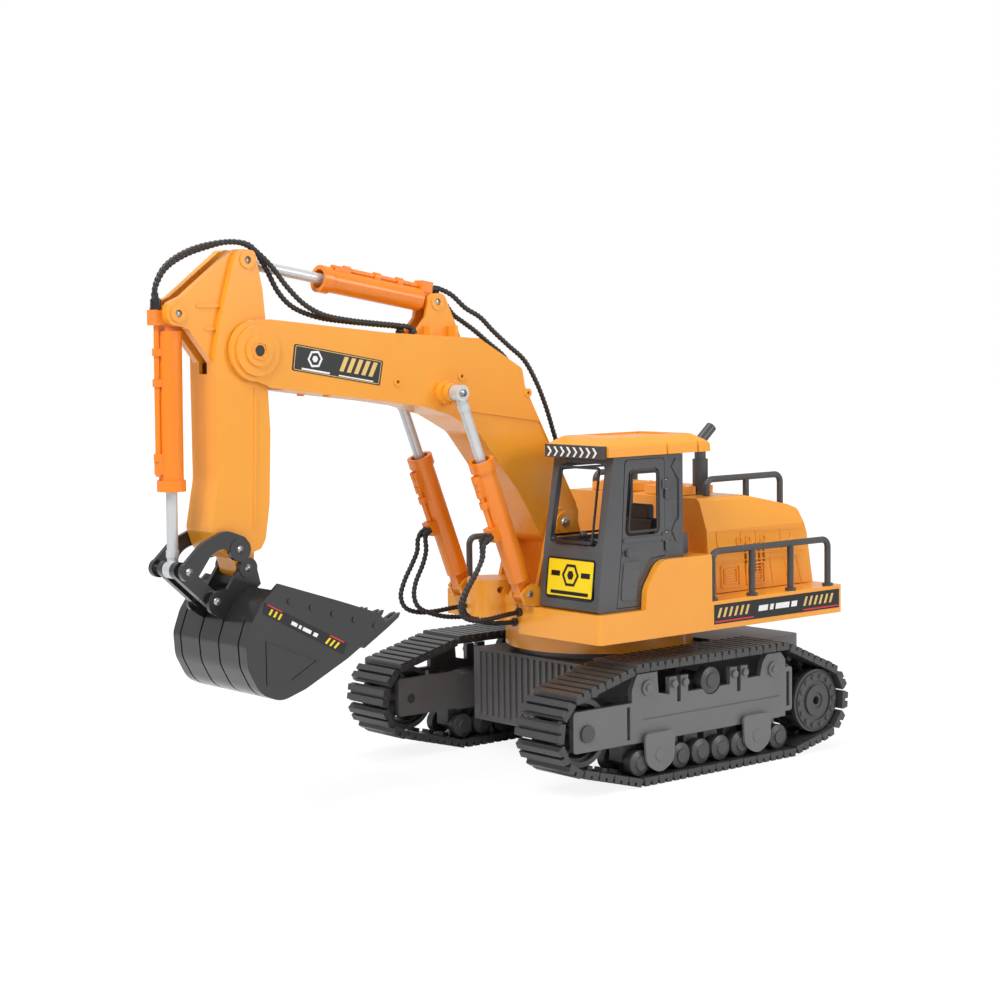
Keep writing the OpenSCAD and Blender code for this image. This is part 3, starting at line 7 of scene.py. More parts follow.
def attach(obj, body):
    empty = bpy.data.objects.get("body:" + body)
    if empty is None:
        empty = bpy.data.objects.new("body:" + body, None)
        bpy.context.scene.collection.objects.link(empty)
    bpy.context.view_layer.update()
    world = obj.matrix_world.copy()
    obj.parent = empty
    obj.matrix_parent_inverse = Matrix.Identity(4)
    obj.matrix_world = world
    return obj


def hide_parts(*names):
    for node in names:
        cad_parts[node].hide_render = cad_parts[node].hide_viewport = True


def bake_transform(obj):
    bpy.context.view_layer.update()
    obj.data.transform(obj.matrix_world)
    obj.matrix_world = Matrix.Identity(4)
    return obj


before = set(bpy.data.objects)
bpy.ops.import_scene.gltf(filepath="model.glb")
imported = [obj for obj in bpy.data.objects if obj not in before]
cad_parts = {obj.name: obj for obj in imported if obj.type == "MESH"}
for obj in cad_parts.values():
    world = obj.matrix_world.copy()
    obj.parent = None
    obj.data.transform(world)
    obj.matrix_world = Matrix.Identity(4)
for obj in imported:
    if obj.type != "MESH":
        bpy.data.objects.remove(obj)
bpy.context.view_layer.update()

# Camera: a long lens at the machine's left front corner, just above the deck.
# It is level with the cab and leans by under one degree.
turn, rise, lean = math.radians(140), math.radians(4.65), math.radians(-0.74)
eye_place = (0.897, 0.975, 0.264)
back = Vector((math.sin(turn) * math.cos(rise), -math.cos(turn) * math.cos(rise), math.sin(rise)))
right = Vector((0, 0, 1)).cross(back).normalized()
up = back.cross(right)
right, up = (right * math.cos(lean) + up * math.sin(lean),
             up * math.cos(lean) - right * math.sin(lean))
lens = bpy.data.cameras.new("camera")
lens.sensor_width = 36
lens.lens = 77.5
lens.clip_start = 0.01
eye = bpy.data.objects.new("camera", lens)
facing = Matrix((right, up, back)).transposed().to_4x4()
eye.matrix_world = Matrix.Translation(eye_place) @ facing
bpy.context.scene.collection.objects.link(eye)
bpy.context.scene.camera = eye

# Hydraulic hoses: soft black tube of 2.8 mm with a fine ribbed jacket, pushed onto the
# cylinders' pipe blocks. The long pair runs over the arm's top to the boom, a second pair
# hangs behind the boom, and two short pairs loop from the boom cylinders to the house.


class Wire:
    """An output of a material's nodes. Sums and products of wires add their Math nodes."""

    def __init__(self, tree, socket):
        self.tree, self.socket = tree, socket

    def node(self, kind, settings, inputs, output=0):
        made = self.tree.nodes.new(kind)
        for key, value in settings.items():
            if key == "stops":
                ramp = made.color_ramp.elements
                for stop, (place, level) in zip(ramp, value):
                    stop.position = place
                    stop.color = (level, level, level, 1)
            else:
                setattr(made, key, value)
        for key, value in inputs.items():
            if isinstance(value, Wire):
                self.tree.links.new(value.socket, made.inputs[key])
            else:
                made.inputs[key].default_value = value
        return Wire(self.tree, made.outputs[output])

    def maths(self, operation, a, b):
        return self.node("ShaderNodeMath", {"operation": operation}, {0: a, 1: b})

    def __add__(self, other):
        return self.maths("ADD", self, other)

    def __sub__(self, other):
        return self.maths("SUBTRACT", self, other)

    def __rsub__(self, other):
        return self.maths("SUBTRACT", other, self)

    def __mul__(self, other):
        return self.maths("MULTIPLY", self, other)

    __radd__ = __add__
    __rmul__ = __mul__


def plastic(name, colour, shade, rough, spread, grain, depth, coat=0.0, metal=0.0, wear=0.06):
    """A moulded plastic: a colour that drifts to shade in soft clouds, a fine grain and scuffs.

    rough is the mean roughness and spread its drift; grain is the grain's scale and depth its
    height in metres; coat, metal and wear go from 0 to 1.
    """
    material = bpy.data.materials.new(name)
    material.use_nodes = True
    tree = material.node_tree
    shader = tree.nodes["Principled BSDF"]
    shader.inputs["Coat Weight"].default_value = coat
    shader.inputs["Coat Roughness"].default_value = 0.12
    shader.inputs["Metallic"].default_value = metal
    place = Wire(tree, tree.nodes.new("ShaderNodeTexCoord").outputs["Object"])
    clouds = place.node("ShaderNodeTexNoise", {}, {"Vector": place, "Scale": 24.0, "Detail": 4.0})
    fine = place.node("ShaderNodeTexNoise", {}, {"Vector": place, "Scale": grain, "Detail": 2.0})
    stretched = place.node(
        "ShaderNodeVectorMath", {"operation": "MULTIPLY"}, {0: place, 1: (90.0, 420.0, 900.0)})
    scratch = place.node("ShaderNodeTexNoise", {}, {"Vector": stretched, "Scale": 1.0, "Detail": 5.0})
    scuffs = place.node(
        "ShaderNodeValToRGB", {"stops": [(0.58, 0.0), (0.74, 1.0)]}, {"Fac": scratch})
    drift = place.node(
        "ShaderNodeValToRGB", {"stops": [(0.35, 0.0), (0.75, 1.0)]}, {"Fac": clouds})
    tint = place.node(
        "ShaderNodeMix", {"data_type": "RGBA"},
        {0: drift * 0.6 + scuffs * (wear * 0.3), 6: (*colour, 1), 7: (*shade, 1)}, output=2)
    tree.links.new(tint.socket, shader.inputs["Base Color"])
    gloss = (clouds - 0.5) * spread + scuffs * (wear * 0.25) + rough
    tree.links.new(gloss.socket, shader.inputs["Roughness"])
    height = fine + scuffs * -0.25
    bump = place.node("ShaderNodeBump", {}, {"Strength": 0.35, "Distance": depth, "Height": height})
    tree.links.new(bump.socket, shader.inputs["Normal"])
    return material


def smooth_line(points, step):
    """Points every step along a soft curve through the given ones."""
    line = []
    ends = [points[0] * 2 - points[1]] + points + [points[-1] * 2 - points[-2]]
    for a, b, c, d in zip(ends, ends[1:], ends[2:], ends[3:]):
        count = max(2, round((c - b).length / step))
        for k in range(count):
            t = k / count
            bend = (2 * a - 5 * b + 4 * c - d) * t ** 2 + (3 * b - a - 3 * c + d) * t ** 3
            line.append(0.5 * (2 * b + (c - a) * t + bend))
    return line + [points[-1]]


def to_object(name, bm, material, body, smooth=True):
    """Makes a piece from the mesh bm and lets it ride on a body."""
    mesh = bpy.data.meshes.new(name)
    bm.to_mesh(mesh)
    bm.free()
    mesh.materials.append(material)
    for face in mesh.polygons:
        face.use_smooth = smooth
    piece = bpy.data.objects.new(name, mesh)
    bpy.context.scene.collection.objects.link(piece)
    if body:
        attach(piece, body)
    return piece


def circle(bm, centre, u, v, radius, sides):
    """A ring of new points round a centre, in the plane of u and v."""
    return [bm.verts.new(centre + radius * (u * math.cos(a) + v * math.sin(a)))
            for a in (k * math.tau / sides for k in range(sides))]


def skin(bm, rings):
    """Joins rings of points into a closed tube."""
    sides = len(rings[0])
    for one, two in zip(rings, rings[1:]):
        for k in range(sides):
            bm.faces.new((one[k], one[(k + 1) % sides], two[(k + 1) % sides], two[k]))
    bm.faces.new(rings[0][::-1])
    bm.faces.new(rings[-1])
    bmesh.ops.recalc_face_normals(bm, faces=bm.faces)


def ribbed_hose(name, route, radius, rib):
    """A tube along the route whose wall rises and falls once for every rib."""
    steps_in_rib, sides, groove = 4, 12, 0.80
    line = smooth_line([Vector(p) / 1000 for p in route], rib / steps_in_rib)
    bm = bmesh.new()
    side = Vector((0, 1, 0))
    rings = []
    for i, point in enumerate(line):
        along = (line[min(i + 1, len(line) - 1)] - line[max(i - 1, 0)]).normalized()
        u = (side - along * side.dot(along)).normalized()
        r = radius * (1.0 if i % steps_in_rib in (0, 1) else groove)
        rings.append(circle(bm, point, u, along.cross(u), r, sides))
    skin(bm, rings)
    return to_object(name, bm, jacket, None), line


jacket = plastic("hose_jacket", (0.012, 0.012, 0.013), (0.022, 0.021, 0.020),
                 rough=0.36, spread=0.12, grain=1500.0, depth=0.0002)
hose_radius, rib_pitch = 0.00155, 0.0026
long_hoses = {
    "bucket_hose_1": [
        (310.8, 2, 274.4), (310.9, 2, 278), (312.2, 2.2, 286), (307, 3, 296), (297, 4, 303),
        (284, 6, 307.6), (268, 9, 309.6), (257, 9.6, 306.4), (245, 9.8, 297), (235, 9.8, 286),
        (224, 9.8, 276.6), (211, 9.8, 270.6), (194, 9.8, 267.6), (176, 9.8, 265.8),
        (160, 9.8, 264.4), (152.4, 9.8, 263.4), (150.1, 9.8, 261.4), (150, 9.8, 259.4)],
    "bucket_hose_2": [
        (310.8, -2, 274.4), (310.8, -2, 278), (309.6, -1.8, 286), (304, -1, 295.4), (293, 0, 302.4),
        (280, 2, 307), (268, 4.6, 309.6), (255, 5.6, 307.6), (246, 6, 296), (238, 6, 283),
        (228, 6, 274.6), (212, 6, 269.4), (194, 6, 267), (176, 6, 265.4), (166, 6, 264.6),
        (158.4, 6, 263.8), (156.1, 6, 261.8), (156, 6, 259.8)]}
back_hoses = {
    "arm_hose_1": [
        (129.8, 2, 285.4), (124, 2.2, 285), (116, 3.4, 281.4), (107, 4.6, 274), (97, 5.6, 268.6),
        (88, 6.4, 260.6), (77, 7, 252), (65, 7.4, 243), (56, 7.6, 230), (49, 7.6, 216),
        (43.6, 7.6, 202), (40, 7.6, 190), (43, 7.6, 179)],
    "arm_hose_2": [
        (129.8, -2, 285.4), (124, -2.4, 283.4), (116, -3.4, 277), (109, -4.6, 270.4),
        (101, -5.4, 266), (92, -6, 261), (81, -6.4, 253.6), (68, -6.8, 244.6), (59, -7, 232),
        (51.6, -7, 217.6), (46, -7, 204), (42.6, -7, 192), (43, -7, 179)]}
short_hoses = {
    "boom_hose_1": [
        (111.7, 30.6, 143.05), (114.3, 30.6, 142), (117.2, 30.6, 137.6), (118, 30.4, 131),
        (122, 30, 124), (129, 29, 114), (132.6, 28, 105.4), (130, 27, 98.4), (121, 26, 95),
        (109, 25, 94.6), (96, 24, 95.6), (84, 22, 96)],
    "boom_hose_2": [
        (111.7, 26.4, 143.05), (113.4, 26.4, 142.4), (115, 26.2, 138.6), (114.8, 26, 131),
        (118, 25.4, 123), (124, 24.4, 113.4), (126.6, 23, 105.4), (124, 22, 98.6), (116, 21, 94.4),
        (106, 20, 91.6), (95, 19, 90.4), (84, 18, 89.8)]}


def lay_hose(name, route, node, mirror=1):
    """Makes a hose along its route, or along the mirrored one, and hides the CAD node it stands in
    for.
    """
    route = [(x, y * mirror, z) for x, y, z in route]
    piece, line = ribbed_hose(name, route, hose_radius, rib_pitch)
    length = sum((b - a).length for a, b in zip(line, line[1:]))
    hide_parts(node)
    shown = line[::3] + ([line[-1]] if (len(line) - 1) % 3 else [])
    return piece


for name, route in long_hoses.items():
    hose = lay_hose(name, route, "bucket_hoses")
    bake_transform(hose)
for name, route in back_hoses.items():
    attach(lay_hose(name, route, "arm_hoses"), "boom")
for mirror, side in ((1, "left"), (-1, "right")):
    for name, route in short_hoses.items():
        hose = lay_hose(name + "_" + side, route, "boom_hoses", mirror)
        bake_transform(hose)

# Hose fittings: grooved black rubber sleeves hold each hose in its pipe block, and flat
# grommets hold it where it enters the boom or the house. Both are round and pushed on.


def turned(name, at, along, profile, body):
    """A turned rubber piece: profile is (distance along, radius) in millimetres from its foot."""
    axis = Vector(along).normalized()
    u = axis.orthogonal().normalized()
    bm = bmesh.new()
    skin(bm, [circle(bm, (Vector(at) + axis * d) / 1000, u, axis.cross(u), r / 1000, sides=20)
              for d, r in profile])
    return to_object(name, bm, jacket, body, smooth=False)


sleeve = [(-0.6, 1.9), (1.2, 1.9), (1.2, 1.7), (1.9, 1.7), (1.9, 1.9),
          (3.1, 1.9), (3.1, 1.7), (3.8, 1.7), (3.8, 1.9), (5.2, 1.8)]
for k, y in enumerate((2, -2)):
    turned("bucket_hose_sleeve_%d" % k, (310.8, y, 274.4), (0, 0, 1), sleeve, "arm")
    turned("arm_hose_sleeve_%d" % k, (129.8, y, 285.4), (-1, 0, -0.1), sleeve, "boom")
grommet = [(-0.6, 2.6), (0.7, 2.6), (1.2, 2.1), (3.0, 1.9)]
for k, hole in enumerate(((150, 9.8, 260.4), (156, 6, 260.6))):
    turned("boom_grommet_%d" % k, hole, (0, 0, 1), grommet, "boom")
for side, word in ((1, "left"), (-1, "right")):
    for k, y in enumerate((30.6, 26.4)):
        turned("boom_hose_sleeve_%s_%d" % (word, k), (111.7, y * side, 143.05), (0.8, 0, -0.6),
               sleeve, "boom_barrel_" + word)
    for k, (y, z) in enumerate(((22, 96), (18, 89.8))):
        turned("house_grommet_%s_%d" % (word, k), (84.2, y * side, z), (1, 0, 0), grommet[:3],
               "house")

# Floor and light: a plain white table and a white surround, with broad soft lamps that leave
# the plastic's own colours alone.
bm = bmesh.new()
bmesh.ops.create_grid(bm, x_segments=1, y_segments=1, size=6.0)
table = bpy.data.materials.new("white_table")
table.use_nodes = True
tree = table.node_tree
paint = tree.nodes["Principled BSDF"]
paint.inputs["Roughness"].default_value = 0.85
paint.inputs["Base Color"].default_value = (0.86, 0.86, 0.86, 1)
rays = tree.nodes.new("ShaderNodeLightPath")
seen = Wire(tree, rays.outputs["Is Camera Ray"])
bright = seen.node("ShaderNodeEmission", {}, {"Color": (1, 1, 1, 1), "Strength": 1.1})
spot = Wire(tree, tree.nodes.new("ShaderNodeTexCoord").outputs["Object"])
reach = spot.node("ShaderNodeVectorMath", {"operation": "LENGTH"}, {0: spot}, 1)
away = reach.node("ShaderNodeMapRange", {"interpolation_type": "SMOOTHSTEP"},
                  {"Value": reach, "From Min": 0.3, "From Max": 0.9})
mixed = seen.node("ShaderNodeMixShader", {},
                  {0: seen * (away * 0.2 + 0.8), 1: Wire(tree, paint.outputs[0]), 2: bright})
tree.links.new(mixed.socket, tree.nodes["Material Output"].inputs["Surface"])
mesh = bpy.data.meshes.new("table")
bm.to_mesh(mesh)
bm.free()
mesh.materials.append(table)
floor = bpy.data.objects.new("table", mesh)
floor.location = (0, 0, -0.0004)
bpy.context.scene.collection.objects.link(floor)

world = bpy.data.worlds.new("surround")
bpy.context.scene.world = world
world.use_nodes = True
tree = world.node_tree
rays = tree.nodes.new("ShaderNodeLightPath")
seen = Wire(tree, rays.outputs["Is Camera Ray"])
mirrored = Wire(tree, rays.outputs["Is Glossy Ray"])
plain = Wire(tree, tree.nodes["Background"].outputs[0])
tree.nodes["Background"].inputs["Color"].default_value = (0.95, 0.97, 1.0, 1)
tree.nodes["Background"].inputs["Strength"].default_value = 0.46
white = seen.node("ShaderNodeBackground", {}, {"Color": (1, 1, 1, 1), "Strength": 1.0})
mixed = seen.node("ShaderNodeMixShader", {},
                  {0: seen.maths("MAXIMUM", seen, mirrored * 0.3), 1: plain, 2: white})
tree.links.new(mixed.socket, tree.nodes["World Output"].inputs["Surface"])


def lamp(name, place, aim, size, power):
    """A soft area lamp that looks from its place towards aim."""
    light = bpy.data.lights.new(name, "AREA")
    light.shape = "RECTANGLE"
    light.size, light.size_y = size
    light.energy = power
    holder = bpy.data.objects.new(name, light)
    holder.location = place
    holder.rotation_euler = (Vector(aim) - Vector(place)).to_track_quat("-Z", "Y").to_euler()
    bpy.context.scene.collection.objects.link(holder)


lamp("key_lamp", (1.1, 0.35, 1.25), (0.1, 0, 0.15), (0.7, 0.7), 16.0)
lamp("side_lamp", (-0.7, 1.5, 0.7), (0.05, 0, 0.12), (0.8, 0.6), 9.0)
lamp("top_lamp", (0.0, -0.2, 1.6), (0.05, 0, 0.1), (1.0, 0.9), 9.5)
scene = bpy.context.scene
scene.view_settings.view_transform = "Standard"

# Track bands: each link is a black plastic shoe with two cast bars and a guide lug, pinned
# to its neighbours. The two bands are closed rings round the wheels.

weld_gap, flat_angle, sharp_angle = 0.000004, math.radians(1.2), math.radians(32)


def dress(names, material, edge=0.0004, segments=2):
    """Gives CAD nodes their finish, and rounds their sharp edges by the mould's small radius."""
    for name in names.split():
        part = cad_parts[name]
        for place in part.material_slots:
            place.material = material
        weld = part.modifiers.new("weld", "WELD")
        weld.merge_threshold = weld_gap
        flats = part.modifiers.new("flats", "DECIMATE")
        flats.decimate_type = "DISSOLVE"
        flats.angle_limit = flat_angle
        if edge:
            soft = part.modifiers.new("mould_radius", "BEVEL")
            soft.width = edge
            soft.segments = segments
            soft.limit_method = "ANGLE"
            soft.angle_limit = sharp_angle
            soft.harden_normals = True
            soft.use_clamp_overlap = True
        even = part.modifiers.new("even_shading", "WEIGHTED_NORMAL")
        even.keep_sharp = True
        for face in part.data.polygons:
            face.use_smooth = True


link_plastic = plastic("link_plastic", (0.040, 0.040, 0.041), (0.062, 0.061, 0.059),
                       rough=0.36, spread=0.14, grain=1100.0, depth=0.00025, coat=0.1)
dress("track_left track_right", link_plastic, 0.00028)

# Wheels and rollers: matte black mouldings. The sprockets turn on the gearboxes' shafts and
# the idlers on their axles; the rollers sit fast in the side frames.
wheel_plastic = plastic("wheel_plastic", (0.052, 0.052, 0.053), (0.075, 0.075, 0.074),
                        rough=0.36, spread=0.12, grain=1300.0, depth=0.0002)
dress("sprocket_left sprocket_right idler_left idler_right", wheel_plastic, 0.0003)
dress("rollers_left rollers_right idler_axles", wheel_plastic, 0.0003)

# Side frames and undercarriage: grey mouldings with a sandblasted face. The belly plate and
# the battery door are screwed to the tub from below, and the turntable ring sits on top of it.
frame_plastic = plastic("frame_plastic", (0.135, 0.131, 0.133), (0.165, 0.161, 0.162),
                        rough=0.38, spread=0.12, grain=1500.0, depth=0.0002)
dress("track_frame_left track_frame_right chassis", frame_plastic, 0.0005)
dress("belly_plate battery_door turntable", frame_plastic, 0.0005)

# Deck, hood, roof and boom mount: glossy mouldings in bright orange plastic, dyed through.
# The hood, the boom mount and the cab stand on the deck, and the roof closes the cab.
orange_plastic = plastic("orange_plastic", (0.870, 0.350, 0.030), (0.850, 0.310, 0.022),
                         rough=0.24, spread=0.05, grain=900.0, depth=0.00005, coat=0.2, wear=0.04)
dress("deck hood hood_vents boom_mount cab_roof", orange_plastic, 0.0007, segments=3)

# Boom and arm: two half shells each in the same orange plastic, joined on the middle line.
# The cross pins hold the halves together.
dress("boom_left_shell boom_right_shell", orange_plastic, 0.0007, segments=3)
dress("arm_left_shell arm_right_shell", orange_plastic, 0.0007, segments=3)

# Cylinders: barrels with a pipe and clips moulded on, in the boom's orange made darker and
# redder as painted shade, and plated plastic rods that slide in them. Each end hangs on a pin.
shaded_barrel_orange = plastic("shaded_barrel_orange", (0.860, 0.230, 0.010), (0.820, 0.200, 0.007),
                         rough=0.26, spread=0.05, grain=900.0, depth=0.00005, coat=0.2, wear=0.04)
dress("boom_barrel_left boom_barrel_right arm_barrel bucket_barrel", shaded_barrel_orange, 0.0003)
rod_plating = plastic("rod_plating", (0.62, 0.63, 0.64), (0.52, 0.53, 0.54),
                      rough=0.30, spread=0.10, grain=700.0, depth=0.00006, metal=0.35)
dress("boom_rod_left boom_rod_right arm_rod bucket_rod", rod_plating, 0.0002)

# Cab, door and light bar: dark grey mouldings with a low gloss. The door hangs on two hinges
# at the rear pillar, and the light bar sits under the roof's front edge.
cab_plastic = plastic("cab_plastic", (0.070, 0.071, 0.074), (0.088, 0.088, 0.091),
                      rough=0.26, spread=0.10, grain=1600.0, depth=0.00012, coat=0.15)
dress("cab_shell cab_door", cab_plastic, 0.0005)
lamp_plastic = plastic("lamp_plastic", (0.045, 0.045, 0.046), (0.065, 0.065, 0.066),
                       rough=0.25, spread=0.10, grain=1200.0, depth=0.0001, coat=0.3)
dress("light_bar", lamp_plastic, 0.0002)

# Rails, exhaust, seat and levers: matte dark mouldings in a softer plastic, so that the thin
# rails bend and don't break. The rails stand on the deck and on the hood.
rail_plastic = plastic("rail_plastic", (0.050, 0.048, 0.048), (0.075, 0.072, 0.070),
                       rough=0.36, spread=0.10, grain=1200.0, depth=0.00012)
dress("handrails exhaust_stack", rail_plastic, 0.0002)
dress("driver_seat control_console", rail_plastic, 0.0006)

# Bucket and linkage: charcoal mouldings with a soft sheen. The teeth are set into the
# bucket's lip, and the rocker and the link swing on pins.
bucket_plastic = plastic("bucket_plastic", (0.018, 0.018, 0.019), (0.026, 0.026, 0.027),
                         rough=0.24, spread=0.08, grain=1300.0, depth=0.00006, coat=0.2, wear=0.05)
dress("bucket_shell bucket_teeth rocker bucket_link", bucket_plastic, 0.0004)

# Pins and screws: plated steel, turned or cold headed, with the sharp edges of that make.
# The ring that keeps the house on its spigot has the same finish.
steel = plastic("plated_steel", (0.45, 0.45, 0.46), (0.36, 0.36, 0.37),
                rough=0.30, spread=0.14, grain=2200.0, depth=0.00005, metal=0.9)
dress("chassis_screws swing_cap house_pins boom_pins arm_pins bucket_pin rocker_pin", steel, 0.0)

# Inside the house, the boom and the tub: white plastic gear cases, a green lacquered circuit
# board, and cells in a shrunk-on wrap.
case_plastic = plastic("case_plastic", (0.72, 0.71, 0.67), (0.62, 0.61, 0.57),
                       rough=0.45, spread=0.1, grain=900.0, depth=0.0001)
dress("drive_gearbox_left drive_gearbox_right swing_gearbox", case_plastic, 0.0004)
dress("boom_gearbox arm_gearbox", case_plastic, 0.0004)
board = plastic("board_lacquer", (0.03, 0.20, 0.08), (0.02, 0.14, 0.06),
                rough=0.3, spread=0.1, grain=900.0, depth=0.0001, coat=0.4)
dress("circuit_board", board, 0.0)
cell_wrap = plastic("cell_wrap", (0.08, 0.26, 0.12), (0.06, 0.20, 0.09),
                    rough=0.35, spread=0.1, grain=900.0, depth=0.0001)
dress("battery_pack", cell_wrap, 0.0003)

# Boom labels and pivot bosses: a black printed film on each side of the boom, with a pale
# rim, slanted bars and a plain hexagon mark. The arm's pivot has a hexagon socket in a raised
# orange collar; the socket's hollow is drawn as a black sheet, which is painted shade.


def prism(bm, outline, place, height):
    """A raised shape: an outline in two numbers, put in space by place(a, b, h)."""
    low = [bm.verts.new(Vector(place(a, b, 0.0)) / 1000) for a, b in outline]
    high = [bm.verts.new(Vector(place(a, b, height)) / 1000) for a, b in outline]
    bm.faces.new(high)
    bm.faces.new(low[::-1])
    for k in range(len(outline)):
        m = (k + 1) % len(outline)
        bm.faces.new((low[k], low[m], high[m], high[k]))


def band(bm, outer, inner, place, height):
    """A raised closed strip between two outlines with as many points."""
    rows = [[bm.verts.new(Vector(place(a, b, h)) / 1000) for a, b in line]
            for line, h in ((outer, 0.0), (outer, height), (inner, height), (inner, 0.0))]
    for one, two in zip(rows, rows[1:] + rows[:1]):
        for k in range(len(outer)):
            m = (k + 1) % len(outer)
            bm.faces.new((one[k], one[m], two[m], two[k]))


def rounded(points, radius, steps=4):
    """The outline with its corners rounded."""
    out = []
    for i, q in enumerate(points):
        p, s = Vector(points[i - 1]), Vector(points[(i + 1) % len(points)])
        q = Vector(q)
        u, v = (p - q).normalized(), (s - q).normalized()
        half = u.angle(v) / 2
        reach = min(radius / math.tan(half), 0.45 * (p - q).length, 0.45 * (s - q).length)
        centre = q + (u + v).normalized() * reach / math.cos(half)
        a, b = q + u * reach - centre, q + v * reach - centre
        for k in range(steps + 1):
            w = k / steps
            t = a.slerp(b, w) if a.length > 1e-6 else a
            out.append(tuple(centre + t))
    return out


def inset(points, d):
    """The outline moved inwards by d."""
    area = sum(a[0] * b[1] - b[0] * a[1] for a, b in zip(points, points[1:] + points[:1]))
    turn = 1 if area > 0 else -1
    out = []
    for i, q in enumerate(points):
        p, s = points[i - 1], points[(i + 1) % len(points)]
        e, f = (Vector(q) - Vector(p)).normalized(), (Vector(s) - Vector(q)).normalized()
        n, m = Vector((-e.y, e.x)) * turn, Vector((-f.y, f.x)) * turn
        out.append(tuple(Vector(q) + d * (n + m) / max(0.3, 1 + n.dot(m))))
    return out


def box(a0, b0, a1, b1, warp=lambda a, b: (a, b)):
    """A box between two corners; warp turns a sticker's own two directions into X and Z."""
    return [warp(a0, b0), warp(a1, b0), warp(a1, b1), warp(a0, b1)]


def slanted(bars, lean, low, high, warp=lambda a, b: (a, b)):
    """Bars given as (start, width), which lean over by the same amount from low to high."""
    return [[warp(a, low), warp(a + width, low), warp(a + width + lean, high), warp(a + lean, high)]
            for a, width in bars]


def on_side(y):
    """Places a shape that is drawn in X and Z on a plane of constant y, standing outwards."""
    return lambda a, b, h: (a, y + (h if y > 0 else -h), b)


def shape(name, build, material, body, soft=0.0):
    """A piece made of the prisms and bands that build adds to an empty mesh."""
    corner = 0.9
    bm = bmesh.new()
    build(bm)
    bmesh.ops.recalc_face_normals(bm, faces=bm.faces)
    if soft:
        sharp = [e for e in bm.edges if len(e.link_faces) == 2 and e.calc_face_angle() > corner]
        bmesh.ops.bevel(bm, geom=sharp, offset=soft / 1000, segments=2, affect="EDGES",
                        clamp_overlap=True)
    return to_object(name, bm, material, body, smooth=False)


def raised(outlines, place, height):
    """Builds a prism on each outline."""
    return lambda bm: [prism(bm, outline, place, height) for outline in outlines]


def ring(outer, inner, place, height):
    """Builds one closed strip."""
    return lambda bm: band(bm, outer, inner, place, height)


def print_ink(name, colour, rough=0.35):
    """A printed film: one even colour with hardly any grain."""
    return plastic(name, colour, tuple(c * 0.85 for c in colour), rough,
                   spread=0.06, grain=1800.0, depth=0.00001, wear=0.05)


black_ink = print_ink("sticker_black", (0.003, 0.003, 0.003), 0.34)
gold_ink = print_ink("sticker_gold", (0.78, 0.50, 0.16))
white_ink = print_ink("sticker_white", (0.85, 0.85, 0.83))
yellow_ink = print_ink("sticker_yellow", (0.92, 0.66, 0.01))
red_ink = print_ink("sticker_red", (0.70, 0.02, 0.02))


def hexagon(x, z, r, turn=0.0):
    return [(x + r * math.cos(turn + k * math.tau / 6), z + r * math.sin(turn + k * math.tau / 6))
            for k in range(6)]


def on_label(s, t):
    """A point of the boom's label, from 0 to 1 along it and across it."""
    low = Vector((238.6, 240.2)).lerp(Vector((177.5, 229.9)), s)
    high = Vector((236.2, 256.8)).lerp(Vector((174.4, 245.9)), s)
    return tuple(low.lerp(high, t))


boom_face, socket_shade_face, collar_face = 16.05, 18.45, 18.8
arm_pivot = (259, 252)
collar_turn = 0.26
for way, side in ((1, "left"), (-1, "right")):
    near, above = on_side(way * boom_face), on_side(way * (boom_face + 0.14))
    film = rounded(box(0, 0, 1, 1, on_label), 2.2)
    shape("boom_label_" + side, raised([film], near, 0.16), black_ink, "boom")
    rim = rounded(box(0.025, 0.07, 0.975, 0.93, on_label), 1.6)
    shape("boom_label_rim_" + side, ring(rim, inset(rim, 0.35), above, 0.08),
          gold_ink, "boom")
    bars = slanted([(s, 0.045) for s in (0.52, 0.60, 0.68, 0.76, 0.84)], 0.04, 0.32, 0.82, on_label)
    shape("boom_label_bars_" + side, raised(bars, above, 0.1), gold_ink, "boom")
    mark = on_label(0.25, 0.56)
    shape("boom_label_mark_" + side, lambda bm: [
        band(bm, hexagon(*mark, 5.0), hexagon(*mark, 3.7), above, 0.1),
        prism(bm, hexagon(*mark, 1.9), above, 0.1),
        prism(bm, box(0.12, 0.15, 0.42, 0.21, on_label), above, 0.1),
        prism(bm, box(0.52, 0.15, 0.90, 0.19, on_label), above, 0.1)], white_ink, "boom")
    # Painted shade: a black hexagon sheet stands for the dark hollow of the pivot's socket.
    shape("pivot_socket_shade_" + side,
          raised([hexagon(*arm_pivot, 2.9)], on_side(way * socket_shade_face), 0.25),
          black_ink, "boom")
    shape("pivot_collar_" + side,
          ring(hexagon(*arm_pivot, 5.6, collar_turn), hexagon(*arm_pivot, 4.4, collar_turn),
               on_side(way * collar_face), 0.5), orange_plastic, "boom", 0.1)

# Deck stickers: a black printed film along each edge of the deck, with slanted gold bars, a
# thin red line under them, and pale dashes in the middle.
deck_face = 91.02
for way, side in ((1, "left"), (-1, "right")):
    near, above = on_side(way * deck_face), on_side(way * (deck_face + 0.12))
    shape("deck_strip_" + side, raised([box(-8.4, 86.2, -119, 97.8)], near, 0.14),
          black_ink, "house")
    bars = slanted([(start - 4.7 * k, -1.9) for start in (-11, -86) for k in range(6)],
                   -2.2, 90, 95.6)
    shape("deck_strip_bars_" + side, raised(bars, above, 0.08), gold_ink, "house")
    shape("deck_strip_line_" + side,
          raised([box(-9, 87.2, -42, 88), box(-86, 87.2, -118.4, 88)], above, 0.08),
          red_ink, "house")
    dashes = slanted([(-46, -8), (-56, -3), (-61, -12), (-75, -5)], -0.8, 90.6, 94)
    shape("deck_strip_dashes_" + side, raised(dashes, above, 0.08), white_ink, "house")

# Cab plate: a yellow warning plate on the sloping front below the windscreen, in a thin black
# rim, with a plain black machine mark printed on it.
cab_foot, front_slope = 100.3, 4 / 35


def ahead(x):
    """Places a shape that is drawn in Y and Z on the cab's sloping front."""
    return lambda a, b, h: (x + h - (b - cab_foot) * front_slope, a, b)


